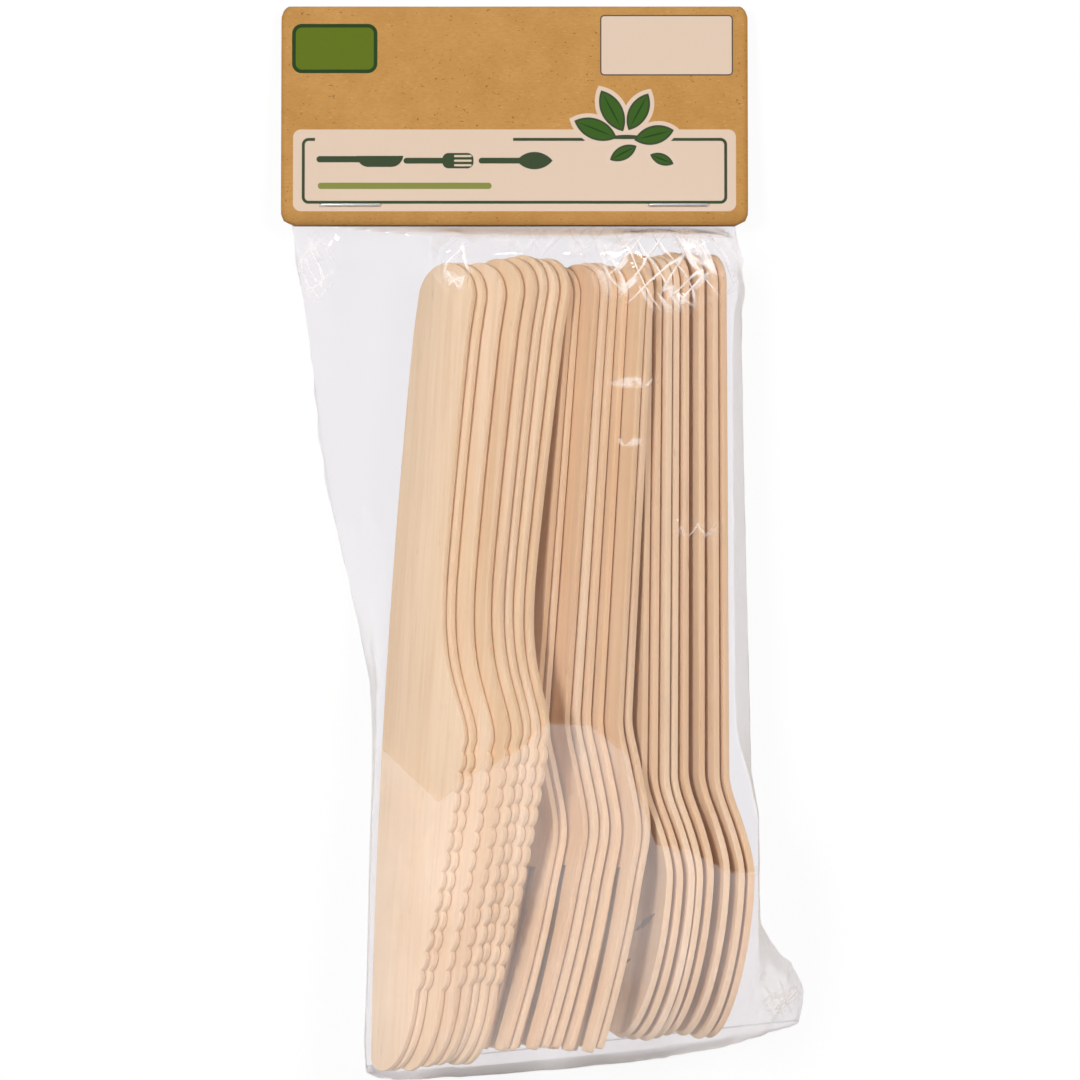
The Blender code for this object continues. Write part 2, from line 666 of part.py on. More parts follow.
def lift_front(columns, points):
    """Raises the front wherever a piece would come nearer to it than the clearance."""
    off = FILM_WALL + FILM_CLEARANCE
    width = len(columns[0][1])
    front = [point for back, row in columns for point in row]
    faces = [
        (row * width + column, (row + 1) * width + column, (row + 1) * width + column + 1,
         row * width + column + 1)
        for row in range(MOUTH_ROWS, len(columns) - 1) for column in range(width - 1)
    ]
    for turn in range(LIFT_TURNS):
        tree = BVHTree.FromPolygons(front, faces)
        lifts = {}
        for point in points:
            hit, normal, face, distance = tree.ray_cast(
                Vector((point.x, point.y, DROP_HEIGHT)), Vector((0.0, 0.0, -1.0)))
            if hit is None or normal.z < 0.5:
                continue
            short = point.z + off - hit.z
            for corner in faces[face]:
                if short > lifts.get(corner, 0.0) and 0 < corner % width < width - 1:
                    lifts[corner] = short
        for corner, lift in lifts.items():
            front[corner].z += lift


def bag_mesh(points):
    """The bag's outer face as an open sheet: back, side folds, front and closed end, open at its mouth."""
    columns = bag_columns(bag_sections(np.array([tuple(point) for point in points])))
    lift_front(columns, points)
    shape = bmesh.new()
    fronts, backs = [], []
    for back, front in columns:
        fronts.append([shape.verts.new(point) for point in front])
        ends = (front[0], front[-1])
        backs.append([shape.verts.new((x, y, back)) for x, y, z in ends])
    for index in range(len(columns) - 1):
        front, lower = fronts[index], fronts[index + 1]
        for column in range(len(front) - 1):
            shape.faces.new((front[column], lower[column], lower[column + 1], front[column + 1]))
        (left, right), (low_left, low_right) = backs[index], backs[index + 1]
        shape.faces.new((left, right, low_right, low_left))
        shape.faces.new((front[0], left, low_left, lower[0]))
        shape.faces.new((front[-1], lower[-1], low_right, right))
    left, right = backs[-1]
    shape.faces.new((*fronts[-1][::-1], left, right))
    mesh = bpy.data.meshes.new("film_bag")
    shape.to_mesh(mesh)
    shape.free()
    return mesh


def flat_mesh(name, outline, half_depth):
    """A prism on an outline in the XY plane, reaching half_depth each way along Z."""
    curve = bpy.data.curves.new(name, "CURVE")
    curve.dimensions = "2D"
    curve.fill_mode = "BOTH"
    curve.extrude = half_depth
    spline = curve.splines.new("POLY")
    spline.points.add(len(outline) - 1)
    for point, (x, y) in zip(spline.points, outline):
        point.co = (x, y, 0.0, 1.0)
    spline.use_cyclic_u = True
    guide = bpy.data.objects.new(name, curve)
    bpy.context.scene.collection.objects.link(guide)
    bpy.context.view_layer.update()
    mesh = bpy.data.meshes.new_from_object(guide.evaluated_get(bpy.context.evaluated_depsgraph_get()))
    bpy.data.objects.remove(guide, do_unlink=True)
    shape = bmesh.new()
    shape.from_mesh(mesh)
    bmesh.ops.remove_doubles(shape, verts=shape.verts, dist=MERGE)
    bmesh.ops.recalc_face_normals(shape, faces=shape.faces)
    shape.to_mesh(mesh)
    shape.free()
    return mesh


def arc(centre, radius, start, end, steps):
    """Points on an arc between two angles in degrees."""
    angles = [math.radians(start + (end - start) * step / steps) for step in range(steps + 1)]
    return [(centre[0] + radius * math.cos(a), centre[1] + radius * math.sin(a)) for a in angles]


def card_profile():
    """The folded card seen from its side: (up the card, through it), with the fold as a half round."""
    outer = card_stack() / 2
    fold = (CARD_HEIGHT - outer, outer)
    points = [(0.0, 0.0)] + arc(fold, outer, -90, 90, FOLD_STEPS) + [(0.0, card_stack())]
    points += [(0.0, card_stack() - CARD_THICKNESS)]
    points += arc(fold, outer - CARD_THICKNESS, 90, -90, FOLD_STEPS) + [(0.0, CARD_THICKNESS)]
    return points


def rounded_outline(width, height, radius):
    """A rectangle with rounded corners that stands on y = 0, centred on x = 0."""
    x, low, high = width / 2 - radius, radius, height - radius
    centres = ((x, low), (x, high), (-x, high), (-x, low))
    points = []
    for turn, centre in enumerate(centres):
        points += arc(centre, radius, 90 * turn - 90, 90 * turn, CORNER_STEPS)
    return points


def cutter(name, mesh, collection, parent):
    made = bpy.data.objects.new(name, mesh)
    collection.objects.link(made)
    made.parent = parent
    made.hide_render = True
    made.display_type = "WIRE"
    return made


def leg_positions():
    """The x of the four staple legs in the card's own frame."""
    reach = STAPLE_WIDTH / 2 - STAPLE_WIRE / 2
    return [side * STAPLE_SPACING / 2 + end * reach for side in (-1, 1) for end in (-1, 1)]


def leg_holes(collection, header):
    """Square holes for the staple legs through the card and the bag."""
    shape = bmesh.new()
    size = STAPLE_WIRE + 2 * STAPLE_CLEARANCE
    for x in leg_positions():
        box = bmesh.ops.create_cube(shape, size=1.0)["verts"]
        bmesh.ops.scale(shape, verts=box, vec=(size, size, 4 * card_stack()))
        bmesh.ops.translate(shape, verts=box, vec=(x, STAPLE_ABOVE_EDGE, card_stack() / 2))
    mesh = bpy.data.meshes.new("staple_holes")
    shape.to_mesh(mesh)
    shape.free()
    return cutter("staple_holes", mesh, collection, header)


def cut(thing, tool, operation):
    made = thing.modifiers.new(tool.name, "BOOLEAN")
    made.operation = operation
    made.object = tool
    made.solver = "EXACT"


def header_card(collection, cutters, header, holes):
    """One sheet folded at the top, its corners rounded, open at its lower edge and both sides."""
    mesh = flat_mesh("header_card", card_profile(), CARD_WIDTH / 2 + CARD_CORNER)
    mesh.transform(Matrix(((0, 0, 1, 0), (1, 0, 0, 0), (0, 1, 0, 0), (0, 0, 0, 1))))
    card = add_object("header_card", mesh, collection, material("kraft_card", (0.57, 0.31, 0.10), 0.85))
    card.parent = header
    die = flat_mesh("card_die", rounded_outline(CARD_WIDTH, CARD_HEIGHT + FILM_WALL, CARD_CORNER),
                    4 * card_stack())
    cut(card, cutter("card_die", die, cutters, header), "INTERSECT")
    cut(card, holes, "DIFFERENCE")
    return card


def staple(name, middle_x, collection, header, finish):
    """A bent wire: its crown lies on the card, its legs go through and are folded in behind."""
    radius = STAPLE_WIRE / 2
    side = STAPLE_WIDTH / 2 - radius
    top = card_stack() + STAPLE_CLEARANCE + radius
    low = -STAPLE_CLEARANCE - radius
    bend = STAPLE_BEND
    half = [(side - STAPLE_LEG, low)] + arc((side - bend, low + bend), bend, -90, 0, BEND_STEPS)
    half += arc((side - bend, top - bend), bend, 0, 90, BEND_STEPS)
    path = [(-x, z) for x, z in half] + half[::-1]
    curve = bpy.data.curves.new(name, "CURVE")
    curve.dimensions = "3D"
    curve.bevel_depth = radius
    curve.bevel_resolution = 2
    curve.use_fill_caps = True
    spline = curve.splines.new("POLY")
    spline.points.add(len(path) - 1)
    for point, (x, z) in zip(spline.points, path):
        point.co = (middle_x + x, STAPLE_ABOVE_EDGE, z, 1.0)
    curve.materials.append(finish)
    wire = bpy.data.objects.new(name, curve)
    collection.objects.link(wire)
    wire.parent = header
    return wire


def film_bag(points, collection, root, holes):
    """The clear bag: a thin shell drawn tight over the pieces, with holes for the staple legs."""
    finish = material("clear_film", (0.86, 0.86, 0.88), 0.12, alpha=0.25)
    bag = add_object("film_bag", bag_mesh(points), collection, finish, 20.0)
    bag.parent = root
    wall = bag.modifiers.new("wall", "SOLIDIFY")
    wall.thickness = FILM_WALL
    wall.offset = -1.0
    wall.use_even_offset = True
    cut(bag, holes, "DIFFERENCE")
    return bag


def centre_pack(collection, root):
    """Moves the pack so that the middle of its box is over the origin."""
    bpy.context.view_layer.update()
    graph = bpy.context.evaluated_depsgraph_get()
    corners = []
    for thing in collection.objects:
        if thing.type == "EMPTY":
            continue
        seen = thing.evaluated_get(graph)
        corners += [thing.matrix_world @ vertex.co for vertex in seen.to_mesh().vertices]
        seen.to_mesh_clear()
    for axis in (0, 1):
        values = [corner[axis] for corner in corners]
        root.location[axis] -= (min(values) + max(values)) / 2


def build():
    clear_scene()
    pack = new_collection("cutlery_pack")
    cutters = new_collection("cutters")
    root = bpy.data.objects.new("pack_root", None)
    header = bpy.data.objects.new("header_root", None)
    pack.objects.link(root)
    pack.objects.link(header)
    header.parent = root
    header.location = (CARD_CENTRE_X, CARD_LOW_Y, header_height())
    header.rotation_euler = (-math.radians(CARD_TILT), 0.0, 0.0)
    points = lay_row(pack, root)
    holes = leg_holes(cutters, header)
    film_bag(points, pack, root, holes)
    header_card(pack, cutters, header, holes)
    steel = material("staple_wire", (0.62, 0.62, 0.64), 0.3, metallic=1.0)
    staple("staple_left", -STAPLE_SPACING / 2, pack, header, steel)
    staple("staple_right", STAPLE_SPACING / 2, pack, header, steel)
    centre_pack(pack, root)


build()
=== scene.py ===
"""The looks of the cutlery pack: birch veneer, crinkled clear film, printed kraft card and wire staples.
The camera looks straight down on the pack, which lies on its back on a white table. Metres, +Z up."""

import math

import bmesh
import bpy
import numpy as np
from mathutils import Matrix, Vector, noise
from mathutils.bvhtree import BVHTree


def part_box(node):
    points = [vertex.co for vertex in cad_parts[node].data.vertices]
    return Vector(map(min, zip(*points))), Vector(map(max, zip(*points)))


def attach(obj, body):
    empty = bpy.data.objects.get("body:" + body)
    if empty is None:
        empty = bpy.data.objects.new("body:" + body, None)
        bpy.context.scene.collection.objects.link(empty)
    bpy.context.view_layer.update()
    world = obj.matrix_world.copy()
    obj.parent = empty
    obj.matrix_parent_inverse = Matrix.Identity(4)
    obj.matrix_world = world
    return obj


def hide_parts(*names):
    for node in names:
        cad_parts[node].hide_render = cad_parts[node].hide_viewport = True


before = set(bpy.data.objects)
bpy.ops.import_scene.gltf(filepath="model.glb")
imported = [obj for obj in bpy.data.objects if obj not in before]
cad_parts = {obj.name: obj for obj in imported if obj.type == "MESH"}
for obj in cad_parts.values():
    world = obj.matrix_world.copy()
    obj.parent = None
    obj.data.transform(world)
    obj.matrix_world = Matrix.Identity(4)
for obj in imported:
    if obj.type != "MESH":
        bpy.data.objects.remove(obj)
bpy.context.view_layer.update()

# Without a seed the noise vectors start from the clock, and the film differs from run to run
noise.seed_set(24)

# Sizes shared with the CAD source, in metres and degrees. Lean and turn run from the first piece of a
# row to its last.
PIECES = 8
VENEER = 0.0013
KNIFE = dict(length=0.165, handle=0.0146, waist=0.0138, waist_at=0.060, blade=0.0222, heel=0.0975,
             flare=3.2, radius=1.38, low_at=0.072, tip_width=0.0125, tip=0.0165, nose=0.0032,
             bulge=0.0009, teeth=12, depth=0.0008, after_heel=0.0025)
FORK = dict(length=0.160, handle=0.0126, neck=0.0114, neck_at=0.092, head=0.0262, shoulder=0.118,
            tip_width=0.0226, taper_power=1.6, tines=4, tine=0.0375, width=0.0041, point=0.0022,
            curl=0.0070, curl_from=0.112, curl_power=1.7, dip=0.0009, cup=0.0007)
SPOON = dict(length=0.160, handle=0.0126, neck=0.0114, neck_at=0.106, bowl=0.0288, bowl_at=0.128,
             depth=0.0026, bowl_power=1.2, curl=0.0019, curl_from=0.124, curl_power=1.5, dip=0.0008)
LEAN = {"knife": (41.0, 48.0), "fork": (48.0, 55.0), "spoon": (57.0, 61.0)}
TURN = {"knife": (3.8, 5.2), "fork": (4.2, 2.7), "spoon": (0.5, -0.4)}
PITCH = {"knife": 4.5, "fork": 1.5, "spoon": 3.0}
CARD_WIDTH = 0.0957
CARD_HEIGHT = 0.0454
CARD_THICKNESS = 0.0004
CARD_CORNER = 0.0027
CARD_TILT = 5.0
CARD_STACK = 0.0024
STAPLE_WIDTH = 0.0128
STAPLE_WIRE = 0.0006
STAPLE_BEND = 0.0006
STAPLE_LEG = 0.0050
STAPLE_CLEARANCE = 0.00015

# Finer shape of the wood and the card
EDGE_ROUND = 0.00016
EDGE_SEGMENTS = 2
EDGE_ANGLE = 40.0
END_STEPS = 10
HANDLE_STEPS = 16
CARD_WAVE = 0.00012

# Colours of the veneer on screen, as (face, streak), and the brown streaks in the first spoon's bowl, as
# (x, y, length, width, angle) in millimetres and degrees on the piece
WOOD = {
    "knife": ((243, 217, 186), (231, 199, 161)),
    "fork": ((243, 215, 184), (231, 197, 159)),
    "spoon": ((244, 216, 186), (232, 198, 161)),
}
KNOTS = ((4.2, -136.4, 8.4, 1.5, 24.0), (-1.3, -144.3, 2.2, 0.7, 10.0), (-4.6, -127.0, 1.8, 0.6, 95.0))

# Look of the film: clear tint, the white of its haziness and painted light, mirror share, a light haziness
# all over and a painted reflection below the border (a line of points in millimetres), and painted white
# highlight strokes in the crumpled patches
FILM_INDEX = 1.42
FILM_CLEAR = (0.976, 0.970, 0.978, 1.0)
# The white of the film's light haziness, of its painted reflection and of its painted highlight strokes
FILM_HAZE_AND_PAINTED_LIGHT = (1.0, 0.965, 0.955, 1.0)
FILM_ROUGHNESS = 0.07
MIRROR_SHARE = 0.9
HAZE_ABOVE = 0.006
# Painted reflection: below the border a white diffuse share stands in for the lamps mirrored by the flatter
# film
PAINTED_REFLECTION_BELOW = (0.07, 0.11)
PAINTED_REFLECTION_BLUR = 0.0006
PAINTED_REFLECTION_BORDER = (
    (-60.0, -34.0), (-46.0, -40.0), (-31.7, -42.8), (-20.5, -53.0), (-14.4, -47.9), (-3.2, -41.8),
    (1.5, -37.1), (10.1, -37.5), (17.8, -43.8), (20.3, -53.0), (23.3, -61.5), (30.4, -63.1),
    (38.6, -67.2), (60.0, -67.2),
)
# Painted highlight strokes, white where crumpled film would mirror the lamps: their share, directions,
# frequencies per metre and width
GLINT_STROKE_SHARE = 0.5
GLINT_STROKE_ANGLES = (-60.0, 44.0)
STROKES_ALONG = 55.0
STROKES_ACROSS = 270.0
STROKE_WIDTH = 0.045

# Shape of the film: its grid, of which ROWS_AT_TOP of the rows lie in the first TOP_SHARE of the length,
# the heights in metres at which its end wall and its side folds are felt, and small gaps that keep its
# faces apart
BAG_ROWS = 210
BAG_COLUMNS = 150
WALL_ROWS = 10
BACK_COLUMNS = 20
ROWS_AT_TOP = 0.42
TOP_SHARE = 0.24
END_LEVELS = (0.0012, 0.006, 0.012, 0.018, 0.022, 0.026, 0.028)
FOLD_LEVELS = (0.0005, 0.0009, 0.0014, 0.0022, 0.0032, 0.0040, 0.0046, 0.0052, 0.0058, 0.0064)
END_SAMPLES = 200
ROW_SAMPLES = 240
RAY_SIDE = 0.3
RAY_ABOVE = 0.2
RAY_BELOW = -0.1
END_BEFORE = -0.06
END_GAP = 0.0001
END_SHARE = 0.9
WALL_BULGE = 0.0003
MOUTH_GAP = 0.0004
SIDE_GAP = 0.00006
FOLD_HEIGHT = 0.0005
LEAST_HEIGHT = 0.0002
BACK_LIFT = 0.00001
SHEET = 0.00006
SMOOTH_TURNS = 2
SMOOTH_ANGLE = 32.0

# Creases as (direction, millimetres apart, height share), and how far they wander in millimetres.
# Crumpled and painted highlight patches are (weight, (middle x, middle y, half width, half height)) in
# millimetres.
CARD_LOW = 1000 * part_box("header_card")[0][1]
SMOOTH_UP_TO = CARD_LOW - 2.0
CREASED_UP_TO = (CARD_LOW - 4.0, CARD_LOW - 0.5)
CALM = 0.06
MOST_CREASED = 0.6
WARP = 5.0
CREASES = (
    (12, 13.0, 0.10), (74, 9.0, 0.09), (131, 7.0, 0.09),
    (38, 5.0, 0.08), (103, 3.6, 0.07), (160, 2.9, 0.06),
)
FINE_CREASES = ((24, 4.3, 0.16), (58, 3.1, 0.15), (112, 5.2, 0.15), (146, 3.4, 0.14))
CRUMPLED = (
    (1.0, (27.0, 54.0, 15.0, 9.0)), (0.8, (-17.0, 56.0, 5.0, 8.0)), (0.6, (-45.0, 58.0, 6.0, 7.0)),
    (0.5, (19.0, 30.0, 4.0, 3.0)), (0.6, (31.0, 2.0, 6.0, 3.0)), (0.8, (48.0, -92.0, 6.0, 7.0)),
    (0.35, (0.0, -102.0, 40.0, 4.0)), (0.3, (-44.0, 20.0, 6.0, 25.0)),
)
# Patches of painted highlight strokes, where crumpled film would mirror the lamps
GLINT_STROKE_PATCHES = (
    (0.95, (26.0, 55.0, 14.5, 8.5)), (0.8, (-17.0, 56.0, 3.0, 5.5)), (0.4, (-46.0, 56.0, 4.0, 7.0)),
    (0.5, (19.0, 32.0, 5.0, 1.2)), (0.45, (18.0, 20.0, 3.0, 1.0)), (0.9, (49.5, -94.0, 4.0, 3.5)),
    (0.4, (32.0, 2.0, 5.0, 1.5)), (0.35, (12.0, 61.0, 24.0, 3.0)),
)

# Stage: the table, the room's light as seen by diffuse and mirrored rays, and the lamps, each with the
# kind of ray that does not see it
TABLE_HALF = 3
TABLE_LOW = -0.0003
TABLE_WHITE = (0.95, 0.95, 0.95, 1.0)
TABLE_GLOW = 0.92
ROOM_LEVEL = 0.22
ROOM_TINT = (1.0, 0.94, 0.86, 1.0)
SKY_FROM = 0.4
SKY_LEVELS = (0.8, 0.35)
LAMPS = (
    ("key", (-0.62, 0.24, 1.08), (0.35, 0.35), 9.8, "visible_glossy"),
    ("fill", (0.62, 0.26, 1.08), (0.35, 0.35), 7.6, "visible_glossy"),
    ("glint", (-0.40, 0.95, 0.85), (0.35, 0.30), 8.0, "visible_diffuse"),
)
CAMERA_HEIGHT = 1.512
CAMERA_LENS = 245.0
CAMERA_SENSOR = 36.0
CAMERA_REACH = 20.0


# Materials


class Nodes:
    """Short ways to add and join shader nodes in one material."""

    def __init__(self, name):
        self.material = bpy.data.materials.new(name)
        self.material.use_nodes = True
        self.tree = self.material.node_tree
        self.shader = self.tree.nodes["Principled BSDF"]
        self.output = self.tree.nodes["Material Output"]
        self.place = self.add("ShaderNodeTexCoord")

    def add(self, kind, **settings):
        node = self.tree.nodes.new(kind)
        for key, value in settings.items():
            setattr(node, key, value)
        return node

    def put(self, socket, value):
        if isinstance(value, bpy.types.NodeSocket):
            self.tree.links.new(value, socket)
        elif value is not None:
            socket.default_value = value

    def math(self, operation, a, b=None, c=None, clamp=False):
        node = self.add("ShaderNodeMath", operation=operation, use_clamp=clamp)
        for socket, value in zip(node.inputs, (a, b, c)):
            self.put(socket, value)
        return node.outputs[0]

    def vector(self, x, y, z=0.0):
        node = self.add("ShaderNodeCombineXYZ")
        for socket, value in zip(node.inputs, (x, y, z)):
            self.put(socket, value)
        return node.outputs[0]

    def split(self, vector):
        node = self.add("ShaderNodeSeparateXYZ")
        self.put(node.inputs[0], vector)
        return node.outputs

    def noise(self, vector, scale, detail=3.0, rough=0.5, w=None):
        node = self.add("ShaderNodeTexNoise", noise_dimensions="3D" if w is None else "4D")
        self.put(node.inputs["Vector"], vector)
        node.inputs["Scale"].default_value = scale
        node.inputs["Detail"].default_value = detail
        node.inputs["Roughness"].default_value = rough
        if w is not None:
            self.put(node.inputs["W"], w)
        return node.outputs["Fac"]

    def stretch(self, vector, scale):
        node = self.add("ShaderNodeVectorMath", operation="MULTIPLY")
        self.put(node.inputs[0], vector)
        node.inputs[1].default_value = scale
        return node.outputs[0]

    def span(self, value, low, high, to_low=0.0, to_high=1.0, smooth=False):
        node = self.add("ShaderNodeMapRange", interpolation_type="SMOOTHSTEP" if smooth else "LINEAR")
        for socket, given in zip(node.inputs, (value, low, high, to_low, to_high)):
            self.put(socket, given)
        return node.outputs[0]

    def mix(self, share, a, b, blend="MIX"):
        node = self.add("ShaderNodeMix", data_type="RGBA", blend_type=blend)
        self.put(node.inputs[0], share)
        for socket, value in zip((node.inputs[6], node.inputs[7]), (a, b)):
            self.put(socket, (*value, 1.0) if isinstance(value, tuple) else value)
        return node.outputs[2]

    def curve(self, value, points):
        """A value read off straight lines through the points, given in millimetres."""
        lows, highs = [min(column) for column in zip(*points)], [max(column) for column in zip(*points)]
        node = self.add("ShaderNodeFloatCurve")
        wide, tall = highs[0] - lows[0], highs[1] - lows[1]
        spots = [((x - lows[0]) / wide, (y - lows[1]) / tall) for x, y in points]
        line = node.mapping.curves[0]
        line.points[0].location, line.points[1].location = spots[0], spots[-1]
        for spot in spots[1:-1]:
            line.points.new(*spot)
        for point in line.points:
            point.handle_type = "VECTOR"
        node.mapping.update()
        self.put(node.inputs["Value"], self.span(value, lows[0] / 1000, highs[0] / 1000))
        return self.span(node.outputs[0], 0.0, 1.0, lows[1] / 1000, highs[1] / 1000)

    def bump(self, height, strength, distance):
        node = self.add("ShaderNodeBump")
        node.inputs["Strength"].default_value = strength
        node.inputs["Distance"].default_value = distance
        self.put(node.inputs["Height"], height)
        return node.outputs[0]


def linear(red, green, blue):
    """A colour written in screen values of 0 to 255, as the shader's linear values."""
    def one(value):
        value /= 255.0
        return value / 12.92 if value <= 0.04045 else ((value + 0.055) / 1.055) ** 2.4
    return (one(red), one(green), one(blue))


def birch_material(name, kind, knots=()):
    """Peeled birch: long soft streaks, fine fibres, short dark flecks and the given knots."""
    n = Nodes(name)
    face, streak = (linear(*colour) for colour in WOOD[kind])
    place = n.place.outputs["Object"]
    piece = n.add("ShaderNodeObjectInfo").outputs["Random"]
    seed = n.math("MULTIPLY", piece, 37.0)
    soft = n.noise(n.stretch(place, (230.0, 9.0, 230.0)), 1.0, 3.0, 0.55, seed)
    fibre = n.noise(n.stretch(place, (1900.0, 45.0, 1900.0)), 1.0, 3.0, 0.6, seed)
    cloud = n.noise(n.stretch(place, (40.0, 22.0, 40.0)), 1.0, 2.0, 0.5, seed)
    fleck = n.noise(n.stretch(place, (2600.0, 330.0, 2600.0)), 1.0, 2.0, 0.5, seed)
    colour = n.mix(n.span(soft, 0.35, 0.68), face, streak)
    colour = n.mix(n.span(fibre, 0.45, 0.75, 0.0, 0.35), colour, linear(206, 166, 122))
    colour = n.mix(n.span(cloud, 0.35, 0.7, 0.0, 0.45), colour, linear(243, 216, 178))
    colour = n.mix(n.span(fleck, 0.70, 0.76, 0.0, 0.5), colour, linear(150, 100, 60))
    tone = n.span(piece, 0.0, 1.0, 0.93, 1.03)
    colour = n.mix(1.0, colour, n.vector(tone, n.math("MULTIPLY", tone, tone), n.math("POWER", tone, 3.0)),
                   "MULTIPLY")
    p = Print(n)
    for knot in knots:
        ragged = n.math("MULTIPLY_ADD", n.span(fleck, 0.3, 0.7, -0.5, 0.5), 0.7, p.leaf(*knot))
        colour = n.mix(n.math("MULTIPLY", p.ink(ragged, 0.35), 0.92), colour, linear(132, 76, 34))
    n.put(n.shader.inputs["Base Color"], colour)
    n.put(n.shader.inputs["Roughness"], n.span(fibre, 0.3, 0.7, 0.5, 0.68))
    n.shader.inputs["Specular IOR Level"].default_value = 0.3
    relief = n.math("ADD", n.math("MULTIPLY", fibre, 0.6), n.math("MULTIPLY", fleck, -0.5))
    n.put(n.shader.inputs["Normal"], n.bump(relief, 0.35, 0.0002))
    return n.material


def painted_glint_strokes(n, x, y):
    """Painted highlights: white strokes on crumpled film, thin ridges of a stretched noise in two
    directions.
    """
    spots = None
    for weight, (middle_x, middle_y, wide, tall) in GLINT_STROKE_PATCHES:
        across = n.math("MULTIPLY_ADD", x, 1000.0 / wide, -middle_x / wide)
        along = n.math("MULTIPLY_ADD", y, 1000.0 / tall, -middle_y / tall)
        away = n.math("ADD", n.math("MULTIPLY", across, across), n.math("MULTIPLY", along, along))
        spot = n.math("MULTIPLY", n.span(away, 0.2, 1.3, 1.0, 0.0, True), weight)
        spots = spot if spots is None else n.math("MAXIMUM", spots, spot)
    strokes = None
    for angle in GLINT_STROKE_ANGLES:
        c, s = math.cos(math.radians(angle)), math.sin(math.radians(angle))
        u = n.math("ADD", n.math("MULTIPLY", x, STROKES_ALONG * c),
                   n.math("MULTIPLY", y, STROKES_ALONG * s))
        v = n.math("SUBTRACT", n.math("MULTIPLY", y, STROKES_ACROSS * c),
                   n.math("MULTIPLY", x, STROKES_ACROSS * s))
        ridge = n.math("ABSOLUTE", n.math("SUBTRACT", n.noise(n.vector(u, v, angle), 1.0, 1.5, 0.5), 0.5))
        stroke = n.span(ridge, 0.0, STROKE_WIDTH, 1.0, 0.0, True)
        strokes = stroke if strokes is None else n.math("MAXIMUM", strokes, stroke)
    return n.math("MULTIPLY", strokes, spots)


def film_material():
    """Clear film: mostly see-through, with a mirror share that grows at a slant, a light haziness, a painted
    reflection below a border and painted white highlight strokes where it is crumpled. Shadow rays meet no
    white share."""
    n = Nodes("clear_film_look")
    n.tree.nodes.remove(n.shader)
    x, y, _ = n.split(n.place.outputs["Object"])
    clear = n.add("ShaderNodeBsdfTransparent")
    clear.inputs["Color"].default_value = FILM_CLEAR
    # Diffuse white: the film's light haziness, the painted reflection and the painted highlight strokes
    haze_and_painted_light = n.add("ShaderNodeBsdfDiffuse")
    haze_and_painted_light.inputs["Color"].default_value = FILM_HAZE_AND_PAINTED_LIGHT
    gloss = n.add("ShaderNodeBsdfGlossy")
    gloss.inputs["Roughness"].default_value = FILM_ROUGHNESS
    gloss.inputs["Color"].default_value = (1.0, 1.0, 1.0, 1.0)
    fresnel = n.add("ShaderNodeFresnel")
    behind = n.add("ShaderNodeNewGeometry").outputs["Backfacing"]
    n.put(fresnel.inputs["IOR"], n.span(behind, 0.0, 1.0, FILM_INDEX, 1.0 / FILM_INDEX))
    # Painted reflection: below the border a patchy white share stands in for the lamps mirrored by the film
    border = n.curve(x, PAINTED_REFLECTION_BORDER)
    low = n.span(n.math("SUBTRACT", y, border), PAINTED_REFLECTION_BLUR, -PAINTED_REFLECTION_BLUR, 0.0, 1.0, True)
    thick = n.noise(n.place.outputs["Object"], 70.0, 2.0)
    amount = n.math("ADD", n.math("MULTIPLY", low, n.span(thick, 0.3, 0.7, *PAINTED_REFLECTION_BELOW)), HAZE_ABOVE)
    # Painted highlight strokes add to the same white share
    amount = n.math("ADD", amount, n.math("MULTIPLY", painted_glint_strokes(n, x, y), GLINT_STROKE_SHARE))
    shadow = n.add("ShaderNodeLightPath").outputs["Is Shadow Ray"]
    amount = n.math("MULTIPLY", amount, n.math("SUBTRACT", 1.0, shadow))
    hazed_and_painted = n.add("ShaderNodeMixShader")
    n.put(hazed_and_painted.inputs[0], amount)
    n.put(hazed_and_painted.inputs[1], clear.outputs[0])
    n.put(hazed_and_painted.inputs[2], haze_and_painted_light.outputs[0])
    whole = n.add("ShaderNodeMixShader")
    n.put(whole.inputs[0], n.math("MULTIPLY", fresnel.outputs[0], MIRROR_SHARE))
    n.put(whole.inputs[1], hazed_and_painted.outputs[0])
    n.put(whole.inputs[2], gloss.outputs[0])
    n.put(n.output.inputs["Surface"], whole.outputs[0])
    return n.material


def wire_material():
    n = Nodes("staple_wire_look")
    n.shader.inputs["Base Color"].default_value = (*linear(226, 226, 230), 1.0)
    n.shader.inputs["Metallic"].default_value = 1.0
    n.shader.inputs["Roughness"].default_value = 0.3
    return n.material


